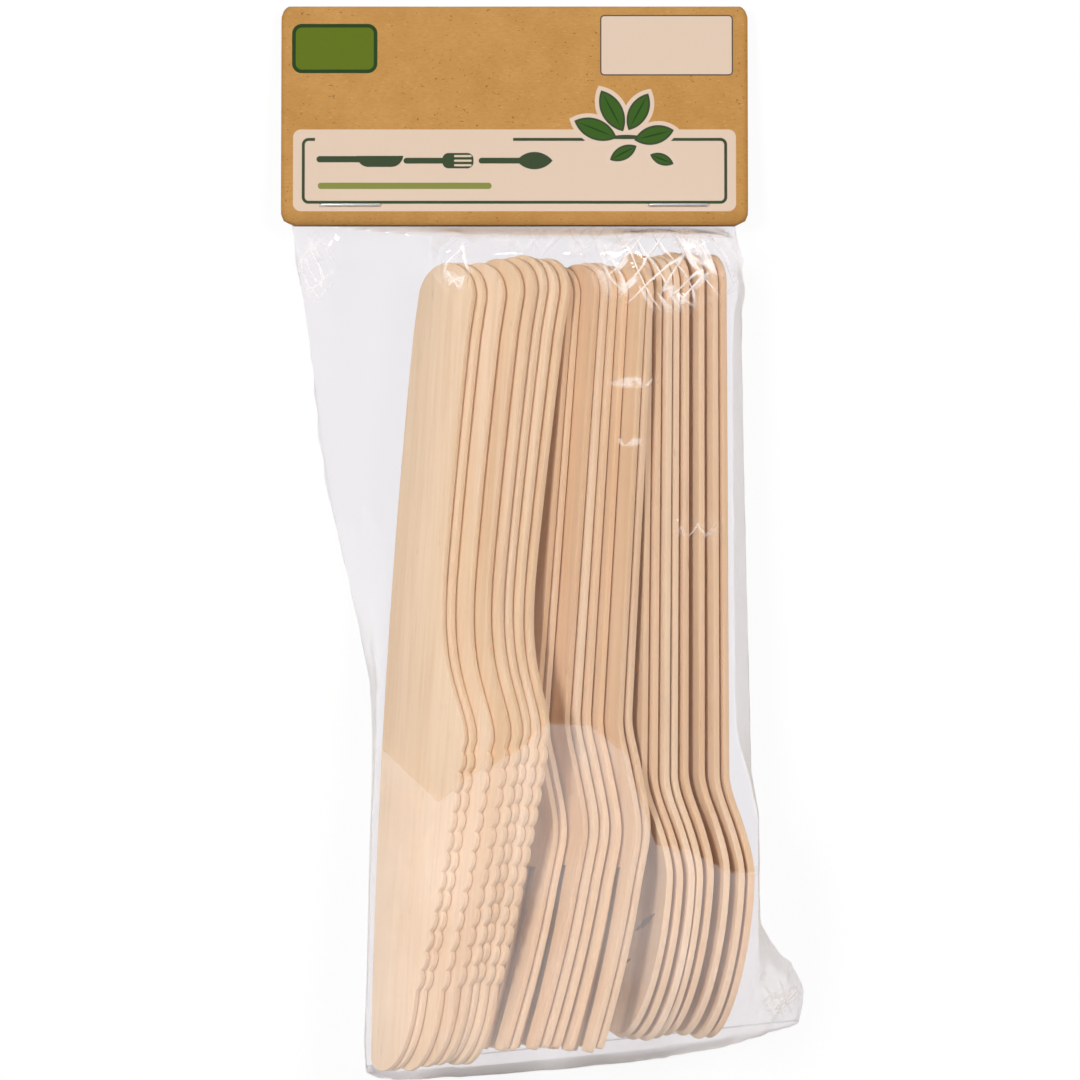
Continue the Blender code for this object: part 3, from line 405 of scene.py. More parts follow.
class Print:
    """Masks for flat marks, drawn in millimetres on a piece. On the card x runs from its middle and y up
    from its lower edge."""

    def __init__(self, nodes):
        self.n = nodes
        where = nodes.stretch(nodes.place.outputs["Object"], (1000.0, 1000.0, 1000.0))
        self.x, self.y, self.z = nodes.split(where)

    def turned(self, cx, cy, angle):
        """The point in a frame with its origin at (cx, cy), turned by angle degrees."""
        n = self.n
        dx, dy = n.math("SUBTRACT", self.x, cx), n.math("SUBTRACT", self.y, cy)
        if not angle:
            return dx, dy
        c, s = math.cos(math.radians(angle)), math.sin(math.radians(angle))
        u = n.math("ADD", n.math("MULTIPLY", dx, c), n.math("MULTIPLY", dy, s))
        v = n.math("SUBTRACT", n.math("MULTIPLY", dy, c), n.math("MULTIPLY", dx, s))
        return u, v

    def ink(self, distance, soft=0.09):
        """1 inside a shape and 0 outside, from how far a point is outside it."""
        return self.n.math("MULTIPLY_ADD", distance, -1.0 / soft, 0.5, clamp=True)

    def box(self, cx, cy, width, height, radius, angle=0.0):
        """How far a point is outside a rounded rectangle."""
        n = self.n
        u, v = self.turned(cx, cy, angle)
        qx = n.math("SUBTRACT", n.math("ABSOLUTE", u), width / 2 - radius)
        qy = n.math("SUBTRACT", n.math("ABSOLUTE", v), height / 2 - radius)
        ox, oy = n.math("MAXIMUM", qx, 0.0), n.math("MAXIMUM", qy, 0.0)
        corner = n.math("SQRT", n.math("ADD", n.math("MULTIPLY", ox, ox), n.math("MULTIPLY", oy, oy)))
        inner = n.math("MINIMUM", n.math("MAXIMUM", qx, qy), 0.0)
        return n.math("SUBTRACT", n.math("ADD", corner, inner), radius)

    def leaf(self, cx, cy, length, width, angle, bend=0.0):
        """How far a point is outside a leaf with two pointed ends: the common part of two discs."""
        n = self.n
        u, v = self.turned(cx, cy, angle)
        v = n.math("MULTIPLY_ADD", n.math("MULTIPLY", u, u), bend, v)
        radius = (length * length / 4 + width * width / 4) / width
        back = radius - width / 2
        v = n.math("ADD", n.math("ABSOLUTE", v), back)
        reach = n.math("SQRT", n.math("ADD", n.math("MULTIPLY", u, u), n.math("MULTIPLY", v, v)))
        return n.math("SUBTRACT", reach, radius)

    def all_of(self, *distances):
        """Several shapes as one."""
        out = distances[0]
        for distance in distances[1:]:
            out = self.n.math("MINIMUM", out, distance)
        return out

    def band(self, distance, width):
        """A line of that width along the border of a shape, inside it."""
        n = self.n
        return n.math("SUBTRACT", n.math("ABSOLUTE", n.math("ADD", distance, width / 2)), width / 2)


def card_material():
    n = Nodes("kraft_card_look")
    place = n.place.outputs["Object"]
    wide = n.noise(place, 160.0, 4.0, 0.6)
    fibre = n.noise(n.stretch(place, (900.0, 2600.0, 900.0)), 1.0, 4.0, 0.65)
    speck = n.noise(n.stretch(place, (1500.0, 1900.0, 1500.0)), 1.0, 1.0, 0.5)
    pale = n.noise(n.stretch(place, (700.0, 2100.0, 700.0)), 1.3, 2.0, 0.5)
    colour = n.mix(n.span(wide, 0.3, 0.7), linear(178, 131, 68), linear(190, 143, 81))
    colour = n.mix(n.span(fibre, 0.42, 0.72, 0.0, 0.4), colour, linear(160, 110, 54))
    colour = n.mix(n.span(pale, 0.66, 0.72, 0.0, 0.4), colour, linear(214, 172, 112))
    colour = n.mix(n.span(speck, 0.71, 0.75, 0.0, 0.75), colour, linear(122, 82, 42))
    p = Print(n)
    shade = n.span(p.y, 0.0, 4.0, 0.8, 1.0, True)
    colour = n.mix(1.0, colour, n.vector(shade, shade, shade), "MULTIPLY")
    cream, brown, dark = linear(213, 192, 174), linear(70, 52, 40), linear(20, 52, 20)
    green, leaf_green, olive = linear(80, 103, 8), linear(50, 86, 20), linear(120, 128, 52)
    front = n.math("GREATER_THAN", p.z, 1000 * CARD_STACK / 2)

    def lay(colour, distance, tint, strength=0.96):
        return n.mix(n.math("MULTIPLY", n.math("MULTIPLY", p.ink(distance), front), strength), colour, tint)

    badge = p.box(-36.9, 36.5, 17.5, 10.2, 2.0)
    colour = lay(colour, badge, green)
    colour = lay(colour, p.band(badge, 0.75), dark)
    label = p.box(31.2, 37.2, 27.3, 12.6, 0.9)
    colour = lay(colour, label, cream)
    colour = lay(colour, p.band(label, 0.28), brown)
    panel = p.box(0.0, 11.3, 90.8, 16.9, 1.6)
    colour = lay(colour, panel, cream)
    line = p.band(p.box(0.0, 11.2, 87.2, 13.6, 1.4), 0.62)
    gap = p.box(-20.6, 18.0, 40.6, 3.0, 0.0)
    colour = lay(colour, n.math("MAXIMUM", line, n.math("MULTIPLY", gap, -1.0)), dark)
    leaves = (
        (16.6, 19.8, 9.4, 4.3, 158.0), (20.0, 23.6, 9.6, 4.4, 118.0), (25.4, 23.4, 8.6, 4.0, 62.0),
        (28.6, 18.6, 8.4, 3.9, 14.0), (22.3, 14.9, 6.2, 2.9, 208.0), (30.2, 13.6, 5.2, 2.4, 338.0),
    )
    shapes = [p.leaf(*leaf) for leaf in leaves]
    stem = p.leaf(22.9, 18.2, 10.5, 0.9, 0.0, 0.012)
    sprig = p.all_of(stem, *shapes)
    colour = lay(colour, n.math("SUBTRACT", sprig, 0.85), cream)
    colour = lay(colour, sprig, dark)
    inner = n.math("ADD", p.all_of(*shapes), 0.45)
    colour = lay(colour, inner, leaf_green)
    veins = p.all_of(*[p.leaf(x, y, 0.8 * length, 0.34, angle) for x, y, length, width, angle in leaves])
    colour = lay(colour, veins, dark)
    colour = lay(colour, pictograms(p), dark)
    colour = lay(colour, p.box(-22.5, 8.1, 35.6, 1.3, 0.6), olive)
    n.put(n.shader.inputs["Base Color"], colour)
    n.put(n.shader.inputs["Roughness"], n.span(wide, 0.3, 0.7, 0.62, 0.74))
    n.shader.inputs["Specular IOR Level"].default_value = 0.3
    relief = n.math("ADD", fibre, n.math("MULTIPLY", wide, 0.5))
    n.put(n.shader.inputs["Normal"], n.bump(relief, 0.25, 0.0001))
    return n.material


def pictograms(p):
    """A knife, a fork and a spoon lying end to end, as plain silhouettes."""
    n = p.n
    blade = n.math("MAXIMUM", p.box(-27.6, 14.5, 9.6, 5.0, 2.5), p.box(-27.6, 13.1, 12.0, 2.4, 0.0))
    knife = p.all_of(p.box(-35.6, 13.6, 10.0, 1.3, 0.65), blade)
    tines = p.all_of(*[p.box(-10.6, 13.3 + 0.95 * k, 3.6, 0.42, 0.2) for k in (-1, 0, 1)])
    fork = p.all_of(p.box(-18.0, 13.3, 9.5, 1.2, 0.6),
                    n.math("MAXIMUM", p.box(-11.6, 13.3, 6.4, 3.2, 1.3), n.math("MULTIPLY", tines, -1.0)))
    spoon = p.all_of(p.box(-2.6, 13.3, 9.5, 1.2, 0.6), p.leaf(4.1, 13.3, 7.4, 3.6, 0.0))
    return p.all_of(knife, fork, spoon)


# Shapes


def blend(value, low, high):
    """A share from 0 at low to 1 at high, with soft ends."""
    share = min(max((value - low) / (high - low), 0.0), 1.0)
    return share * share * (3.0 - 2.0 * share)


def mesh_of(shape, name):
    """The mesh of a finished bmesh, with its normals facing one way."""
    mesh = bpy.data.meshes.new(name)
    bmesh.ops.recalc_face_normals(shape, faces=shape.faces)
    shape.to_mesh(mesh)
    shape.free()
    return mesh


def thing(name, mesh, finish, smooth=40.0):
    """An object of one mesh and one material, smooth up to that angle between faces."""
    made = bpy.data.objects.new(name, mesh)
    bpy.context.scene.collection.objects.link(made)
    mesh.materials.clear()
    mesh.materials.append(finish)
    mesh.shade_smooth()
    mesh.set_sharp_from_angle(angle=math.radians(smooth))
    return made


def settled(made):
    """The object with its modifiers worked into its mesh."""
    bpy.context.view_layer.update()
    mesh = bpy.data.meshes.new_from_object(made.evaluated_get(bpy.context.evaluated_depsgraph_get()))
    made.modifiers.clear()
    made.data = mesh
    return made


def round_edges(made):
    soft = made.modifiers.new("soft_edges", "BEVEL")
    soft.width = EDGE_ROUND
    soft.segments = EDGE_SEGMENTS
    soft.limit_method = "ANGLE"
    soft.angle_limit = math.radians(EDGE_ANGLE)
    soft.use_clamp_overlap = True
    soft.harden_normals = False
    return made


def fit(made, node):
    """Moves an object so that the middle of its box is the middle of the CAD node's box."""
    bpy.context.view_layer.update()
    points = [made.matrix_world @ vertex.co for vertex in made.data.vertices]
    low = Vector([min(point[axis] for point in points) for axis in range(3)])
    high = Vector([max(point[axis] for point in points) for axis in range(3)])
    cad_low, cad_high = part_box(node)
    made.location = made.location + (Vector(cad_low) + Vector(cad_high)) / 2 - (low + high) / 2
    bpy.context.view_layer.update()


def knife_spine(t):
    """Where the knife's back lies across, at a distance t from the handle's end."""
    away = t - KNIFE["low_at"]
    return -KNIFE["handle"] / 2 + (away * away) / (2 * KNIFE["radius"])


def knife_edge(t):
    """Where its other side lies, up to the heel of the blade."""
    k = KNIFE
    if t <= k["waist_at"]:
        return knife_spine(t) + k["handle"] + (k["waist"] - k["handle"]) * t / k["waist_at"]
    share = min((t - k["waist_at"]) / (k["heel"] - k["waist_at"]), 1.0)
    flare = math.sin(math.pi / 2 * share ** k["flare"])
    return knife_spine(t) + k["waist"] + (k["blade"] - k["waist"]) * flare


def knife_outline():
    """The knife's outline as (across, along) points, with rounded saw teeth."""
    k = KNIFE
    low, high = knife_spine(0.0), knife_edge(0.0)
    middle, half, depth = (low + high) / 2, (high - low) / 2, k["handle"] / 2
    end_steps, waist_steps, flare_steps, tooth_steps = 24, 8, 16, 9
    tip_steps, nose_steps, back_steps = 18, 8, 12
    points = []
    for step in range(end_steps + 1):
        angle = math.pi * step / end_steps
        points.append((middle - half * math.cos(angle), depth * (1 - math.sin(angle))))
    for step in range(2, waist_steps + 1):
        along = k["waist_at"] * step / waist_steps
        points.append((knife_edge(along), along))
    for step in range(1, flare_steps + 1):
        along = k["waist_at"] + (k["heel"] - k["waist_at"]) * step / flare_steps
        points.append((knife_edge(along), along))
    tip_at, heel = k["length"] - k["tip"], k["heel"] + k["after_heel"]
    start, end = knife_spine(heel) + k["blade"], knife_spine(tip_at) + k["tip_width"]
    for step in range(tooth_steps * k["teeth"] + 1):
        share = step / (tooth_steps * k["teeth"])
        line = start + (end - start) * share + 4 * k["bulge"] * share * (1 - share)
        across = (step % tooth_steps) / tooth_steps
        notch = k["depth"] * (1 - min(across / 0.34, 1.0, (1 - across) / 0.34)) ** 1.5
        points.append((line - notch, heel + (tip_at - heel) * share))
    nose_at = k["length"] - k["nose"]
    nose = knife_spine(nose_at) + k["nose"]
    side = points[-1][0] - nose
    for step in range(1, tip_steps + 1):
        angle = math.pi / 2 * step / tip_steps
        points.append((nose + side * math.cos(angle), tip_at + k["tip"] * math.sin(angle)))
    for step in range(1, nose_steps + 1):
        angle = math.pi / 2 * step / nose_steps
        points.append((nose - k["nose"] * math.sin(angle), nose_at + k["nose"] * math.cos(angle)))
    for step in range(back_steps - 1, 0, -1):
        along = nose_at * step / back_steps
        points.append((knife_spine(along), along))
    return points


def knife_mesh():
    shape = bmesh.new()
    outline = [shape.verts.new((across, -along, 0.0)) for across, along in knife_outline()]
    shape.faces.new(outline)
    return mesh_of(shape, "knife_sheet")


def fork_half(t):
    """Half the fork's width at a distance t from the handle's end."""
    f = FORK
    neck = f["handle"] + (f["neck"] - f["handle"]) * min(t / f["neck_at"], 1.0)
    tip = max((t - f["shoulder"]) / (f["length"] - f["shoulder"]), 0.0)
    head = f["head"] + (f["tip_width"] - f["head"]) * tip ** f["taper_power"]
    return (neck + (head - neck) * blend(t, f["neck_at"], f["shoulder"])) / 2


def fork_height(across, t):
    """The height of its upper face: a dip at the neck, a cupped head and a curl to the points."""
    f = FORK
    dip = f["dip"] * blend(t, f["neck_at"], 0.5 * (f["neck_at"] + f["curl_from"]))
    dip *= 1.0 - blend(t, f["curl_from"], f["shoulder"] + f["tine"] / 4)
    share = max((t - f["curl_from"]) / (f["length"] - f["curl_from"]), 0.0)
    cup = f["cup"] * blend(t, f["neck_at"], f["shoulder"]) * (1.0 - (across / fork_half(t)) ** 2)
    return f["curl"] * share ** f["curl_power"] - dip - cup


def spoon_half(t):
    """Half the spoon's width at a distance t from the handle's end."""
    s = SPOON
    neck = s["handle"] + (s["neck"] - s["handle"]) * min(t / s["neck_at"], 1.0)
    if t <= s["bowl_at"]:
        return (neck + (s["bowl"] - neck) * blend(t, s["neck_at"], s["bowl_at"])) / 2
    share = min((t - s["bowl_at"]) / (s["length"] - s["bowl_at"]), 1.0)
    return s["bowl"] / 2 * math.sqrt(max(1.0 - share * share, 0.0))


def spoon_height(across, t):
    """The height of its upper face: a dip at the neck, the dished bowl and a slight curl."""
    s = SPOON
    half = max(spoon_half(t), 1e-6)
    middle = 0.5 * (s["neck_at"] + s["bowl_at"])
    dip = s["dip"] * blend(t, s["neck_at"], middle) * (1.0 - blend(t, middle, s["length"]))
    share = max((t - s["curl_from"]) / (s["length"] - s["curl_from"]), 0.0)
    deep = blend(t, s["neck_at"], s["bowl_at"]) * (half / (s["bowl"] / 2)) ** s["bowl_power"]
    across = min(abs(across) / half, 1.0)
    return s["curl"] * share ** s["curl_power"] - dip - s["depth"] * deep * (1.0 - across * across)


def handle_stations(width, neck_at):
    """Stations of the rounded end and the handle, with the half width at the rounded end or None."""
    out, radius = [], width / 2
    for step in range(1, END_STEPS + 1):
        angle = math.pi / 2 * step / END_STEPS
        out.append((radius * (1 - math.cos(angle)), radius * math.sin(angle)))
    for step in range(1, HANDLE_STEPS + 1):
        out.append((radius + (neck_at - radius) * step / HANDLE_STEPS, None))
    return out


def grid_rows(shape, rows):
    """Joins rows of as many vertices each with quads."""
    for upper, lower in zip(rows, rows[1:]):
        for a, b, c, d in zip(upper, lower, lower[1:], upper[1:]):
            shape.faces.new((a, b, c, d))


def fan(shape, tip, row, flip=False):
    """Joins a row to one vertex with triangles."""
    for a, b in zip(row, row[1:]):
        shape.faces.new((tip, b, a) if flip else (tip, a, b))


def spoon_mesh():
    """The spoon's upper face as a sheet of rows from side to side."""
    s = SPOON
    columns, neck_rows, bowl_rows = 12, 20, 22
    shape = bmesh.new()
    stations = handle_stations(s["handle"], s["neck_at"])
    for step in range(1, neck_rows + 1):
        stations.append((s["neck_at"] + (s["bowl_at"] - s["neck_at"]) * step / neck_rows, None))
    reach = s["length"] - s["bowl_at"]
    for step in range(1, bowl_rows):
        stations.append((s["bowl_at"] + reach * math.sin(math.pi / 2 * step / bowl_rows), None))
    rows = []
    for t, half in stations:
        half = spoon_half(t) if half is None else half
        acrosses = [half * (2 * index / columns - 1) for index in range(columns + 1)]
        rows.append([shape.verts.new((x, -t, spoon_height(x, t))) for x in acrosses])
    grid_rows(shape, rows)
    fan(shape, shape.verts.new((0.0, 0.0, spoon_height(0.0, 0.0))), rows[0])
    fan(shape, shape.verts.new((0.0, -s["length"], spoon_height(0.0, s["length"]))), rows[-1], True)
    return mesh_of(shape, "spoon_sheet")


def tine_sides(t, width):
    """The left and right side of each tine."""
    outer = fork_half(t)
    pitch = (2 * outer - FORK["width"]) / (FORK["tines"] - 1)
    middles = [-outer + FORK["width"] / 2 + pitch * index for index in range(FORK["tines"])]
    return [(middle - width / 2, middle + width / 2) for middle in middles]


def fork_mesh():
    """The fork's upper face as a sheet: rows from side to side, then a strip for each tine."""
    f = FORK
    neck_rows, tine_rows, point_rows = 20, 18, 5
    shape = bmesh.new()
    root = f["length"] - f["tine"]

    def tine_row(tine, t, width):
        left, right = tine_sides(t, width)[tine]
        return [shape.verts.new((x, -t, fork_height(x, t))) for x in (left, (left + right) / 2, right)]

    shares = []
    for left, right in tine_sides(root, f["width"]):
        shares += [left, (left + right) / 2, right]
    shares = [value / fork_half(root) for value in shares]
    stations = handle_stations(f["handle"], f["neck_at"])
    for step in range(1, neck_rows + 1):
        stations.append((f["neck_at"] + (root - f["neck_at"]) * step / neck_rows, None))
    rows = []
    for t, half in stations:
        half = fork_half(t) if half is None else half
        rows.append([shape.verts.new((half * x, -t, fork_height(half * x, t))) for x in shares])
    grid_rows(shape, rows)
    fan(shape, shape.verts.new((0.0, 0.0, fork_height(0.0, 0.0))), rows[0])
    point_at = f["length"] - f["width"] / 2
    for tine in range(f["tines"]):
        strip = [rows[-1][3 * tine:3 * tine + 3]]
        for step in range(1, tine_rows + 1):
            share = step / tine_rows
            width = f["width"] + (f["point"] - f["width"]) * 0.5 * share
            strip.append(tine_row(tine, root + (point_at - root) * share, width))
        for step in range(1, point_rows):
            angle = math.pi / 2 * step / point_rows
            width = (f["width"] + f["point"]) / 2 * (0.45 + 0.55 * math.cos(angle))
            strip.append(tine_row(tine, point_at + (f["length"] - point_at) * math.sin(angle), width))
        grid_rows(shape, strip)
    return mesh_of(shape, "fork_sheet")


def pose(lean, pitch, turn):
    """How a piece lies in its row, from its place flat on the table."""
    return (
        Matrix.Rotation(math.radians(-turn), 4, "Z")
        @ Matrix.Rotation(math.radians(-pitch), 4, "X")
        @ Matrix.Rotation(math.radians(-lean), 4, "Y")
    )


def lay_wood():
    """The twenty-four pieces, each in the place of its CAD node."""
    looks = {kind: birch_material(f"birch_{kind}_look", kind) for kind in WOOD}
    marked = birch_material("birch_marked_look", "spoon", KNOTS)
    sheets = {"knife": knife_mesh(), "fork": fork_mesh(), "spoon": spoon_mesh()}
    for kind, sheet in sheets.items():
        model = thing(f"{kind}_model", sheet, looks[kind])
        thick = model.modifiers.new("veneer", "SOLIDIFY")
        thick.thickness = VENEER
        thick.offset = -1.0
        thick.use_even_offset = True
        settled(round_edges(model))
        for index in range(PIECES):
            share = index / (PIECES - 1)
            lean = LEAN[kind][0] + (LEAN[kind][1] - LEAN[kind][0]) * share
            turn = TURN[kind][0] + (TURN[kind][1] - TURN[kind][0]) * share
            look = marked if kind == "spoon" and index == 0 else looks[kind]
            piece = thing(f"{kind}_{index + 1}_wood", model.data.copy(), look)
            piece.matrix_world = pose(lean, PITCH[kind], turn)
            fit(piece, f"{kind}_{index + 1}")
            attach(piece, "root")
            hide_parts(f"{kind}_{index + 1}")
        bpy.data.objects.remove(model, do_unlink=True)


# Card and staples


def arc(centre, radius, start, end, steps=8):
    """Points along an arc, from one angle in degrees to another."""
    angles = [math.radians(start + (end - start) * step / steps) for step in range(steps + 1)]
    return [(centre[0] + radius * math.cos(a), centre[1] + radius * math.sin(a)) for a in angles]


def header_card():
    """The folded card: a sheet of quads bent round its fold, with rounded corners on both leaves."""
    leaf_steps, fold_steps, columns = 40, 12, 80
    shape = bmesh.new()
    outer = CARD_STACK / 2 - CARD_THICKNESS / 2
    flat = CARD_HEIGHT - CARD_STACK / 2
    path = [(flat * step / leaf_steps, CARD_THICKNESS / 2) for step in range(leaf_steps)]
    for step in range(fold_steps + 1):
        angle = math.pi * step / fold_steps
        path.append((flat + outer * math.sin(angle), CARD_STACK / 2 - outer * math.cos(angle)))
    for step in range(leaf_steps - 1, -1, -1):
        path.append((flat * step / leaf_steps, CARD_STACK - CARD_THICKNESS / 2))
    rows = []
    for y, z in path:
        half = CARD_WIDTH / 2
        for edge in (y, CARD_HEIGHT - y):
            if edge < CARD_CORNER:
                inwards = CARD_CORNER ** 2 - (CARD_CORNER - edge) ** 2
                half = CARD_WIDTH / 2 - CARD_CORNER + math.sqrt(max(inwards, 0.0))
        side = 1.0 if z > CARD_STACK / 2 else -1.0
        row = []
        for column in range(columns + 1):
            x = half * (2 * column / columns - 1)
            wave = CARD_WAVE * noise.noise(Vector((x * 45, y * 30, side * 3.0)))
            row.append(shape.verts.new((x, y, z + wave)))
        rows.append(row)
    grid_rows(shape, rows)
    card = thing("header_card_print", mesh_of(shape, "header_card_print"), card_material(), 50.0)
    thick = card.modifiers.new("thickness", "SOLIDIFY")
    thick.thickness = CARD_THICKNESS
    thick.offset = 0.0
    settled(card)
    card.rotation_euler = (-math.radians(CARD_TILT), 0.0, 0.0)
    fit(card, "header_card")
    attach(card, "root")
    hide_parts("header_card")


def staple(name, finish):
    """A round wire with a crown on the front of the card and its legs bent in at the back."""
    radius = STAPLE_WIRE / 2
    side = STAPLE_WIDTH / 2 - radius
    top, low = CARD_STACK + STAPLE_CLEARANCE + radius, -STAPLE_CLEARANCE - radius
    bend = STAPLE_BEND
    half = [(side - STAPLE_LEG, low)] + arc((side - bend, low + bend), bend, -90, 0)
    half += arc((side - bend, top - bend), bend, 0, 90)
    path = [(-x, z) for x, z in half] + half[::-1]
    curve = bpy.data.curves.new(name, "CURVE")
    curve.dimensions = "3D"
    curve.bevel_depth = radius
    curve.bevel_resolution = 5
    curve.use_fill_caps = True
    spline = curve.splines.new("POLY")
    spline.points.add(len(path) - 1)
    for point, (x, z) in zip(spline.points, path):
        point.co = (x, 0.0, z, 1.0)
    guide = bpy.data.objects.new(name + "_guide", curve)
    bpy.context.scene.collection.objects.link(guide)
    bpy.context.view_layer.update()
    mesh = bpy.data.meshes.new_from_object(guide.evaluated_get(bpy.context.evaluated_depsgraph_get()))
    bpy.data.objects.remove(guide, do_unlink=True)
    wire = thing(name + "_wire", mesh, finish, 60.0)
    wire.rotation_euler = (-math.radians(CARD_TILT), 0.0, 0.0)
    fit(wire, name)
    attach(wire, "root")
    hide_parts(name)


# Film


def cad_surface(name):
    """The CAD node's surface, for casting rays at it."""
    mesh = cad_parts[name].data
    corners = [tuple(vertex.co) for vertex in mesh.vertices]
    return BVHTree.FromPolygons(corners, [tuple(face.vertices) for face in mesh.polygons])


def first_hit(surface, start, towards):
    return surface.ray_cast(Vector(start), Vector(towards))[0]


def folded(values):
    """A wave of straight flanks and sharp creases, from 0 to 1."""
    return np.abs(2.0 * (values - np.floor(values)) - 1.0)


def patch(x, y, middle_x, middle_y, wide, tall):
    """A soft round patch, 1 in its middle."""
    return np.exp(-((x - middle_x) / wide) ** 2 - ((y - middle_y) / tall) ** 2)


def creases(u, v, kinds):
    """Straight creases of several kinds laid over each other, in millimetres of height."""
    height = np.zeros_like(u)
    for angle, length, share in kinds:
        c, s = math.cos(math.radians(angle)), math.sin(math.radians(angle))
        height += share * length * folded((u * c + v * s) / length + 0.37 * angle)
    return height


def crinkle(grid):
    """How far each point of the front sheet stands out: creased facets, strong in the crumpled patches."""
    x, y = grid[..., 0] * 1000, grid[..., 1] * 1000
    flat = grid.reshape(-1, 3)
    warp = np.array([noise.noise_vector(Vector((p[0] * 60, p[1] * 45, 2.0)))[:2] for p in flat])
    warp = warp.reshape(*grid.shape[:2], 2)
    u, v = x + WARP * warp[..., 0], y + WARP * warp[..., 1]
    crumpled = sum(weight * patch(x, y, *place) for weight, place in CRUMPLED)
    height = creases(u, v, CREASES) * np.minimum(CALM + crumpled, MOST_CREASED)
    height += creases(u, v, FINE_CREASES) * np.clip(1.6 * crumpled - 0.25, 0.0, 1.0)
    return height * 0.001 * np.interp(y, CREASED_UP_TO, (1.0, 0.0))


def bag_outline(surface, y):
    """The left and right folds of the CAD film at a height along the bag."""
    ends = []
    for sign in (1.0, -1.0):
        hits = [first_hit(surface, (-sign * RAY_SIDE, y, z), (sign, 0.0, 0.0)) for z in FOLD_LEVELS]
        hits = [hit.x for hit in hits if hit is not None]
        ends.append(min(hits, key=lambda x: sign * x) if hits else None)
    return ends


def bag_front(surface):
    """The front sheet as a grid of points on the CAD film, with its end wall, and the back's heights."""
    low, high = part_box("film_bag")
    mouth = high[1] - MOUTH_GAP
    known = []
    for x in np.linspace(low[0], high[0], END_SAMPLES):
        hits = [first_hit(surface, (x, -RAY_SIDE, z), (0.0, 1.0, 0.0)) for z in END_LEVELS]
        ends = [hit.y for hit in hits if hit is not None and hit.y < END_BEFORE]
        if ends:
            known.append((x, min(ends)))
    end_x, end_y = np.array(known).T
    middle = (end_y[0] + end_y[-1]) / 2
    grid, backs = [], []
    sides = [end_x[0], end_x[-1]]
    for row in range(BAG_ROWS, -1, -1):
        share = float(np.interp(row / BAG_ROWS, (0.0, ROWS_AT_TOP, 1.0), (0.0, TOP_SHARE, 1.0)))
        slant = blend(share, 0.5, 1.0)

        def row_at(x):
            return mouth + (middle - mouth) * share + slant * (np.interp(x, end_x, end_y) - middle + END_GAP)

        for _ in range(3):
            found = [bag_outline(surface, float(row_at(x)))[side] for side, x in enumerate(sides)]
            sides = [old if new is None else new for old, new in zip(sides, found)]
        left, right = sides[0] + SIDE_GAP, sides[1] - SIDE_GAP
        line, under = [], []
        for x in np.linspace(left, right, ROW_SAMPLES):
            y = float(row_at(x))
            top = first_hit(surface, (x, y, RAY_ABOVE), (0.0, 0.0, -1.0))
            base = first_hit(surface, (x, y, RAY_BELOW), (0.0, 0.0, 1.0))
            if top is not None and base is not None:
                line.append((x, top.z))
                under.append(base.z)
        base = float(np.median(under)) if share < END_SHARE else low[2] + END_GAP
        line = np.array([(left, base + FOLD_HEIGHT)] + line + [(right, base + FOLD_HEIGHT)])
        steps = np.concatenate(([0.0], np.cumsum(np.hypot(*np.diff(line, axis=0).T))))
        marks = np.linspace(0.0, steps[-1], BAG_COLUMNS + 1)
        across, heights = np.interp(marks, steps, line[:, 0]), np.interp(marks, steps, line[:, 1])
        grid.append(np.column_stack((across, row_at(across), heights)))
        backs.append(base)
    grid.reverse()
    backs.reverse()
    last, base = grid[-1], backs[-1]
    for step in range(1, WALL_ROWS + 1):
        lower = last.copy()
        lower[:, 2] = base + FOLD_HEIGHT + (last[:, 2] - base - FOLD_HEIGHT) * (1.0 - step / WALL_ROWS)
        lower[:, 1] -= WALL_BULGE * math.sin(math.pi * step / WALL_ROWS)
        grid.append(lower)
        backs.append(base)
    return np.array(grid), backs


def smoothed(grid):
    """The grid with its inner points drawn towards their neighbours."""
    for _ in range(SMOOTH_TURNS):
        around = (grid[:-2, 1:-1] + grid[2:, 1:-1] + grid[1:-1, :-2] + grid[1:-1, 2:]) / 4
        grid[1:-1, 1:-1] += 0.5 * (around - grid[1:-1, 1:-1])
    return grid


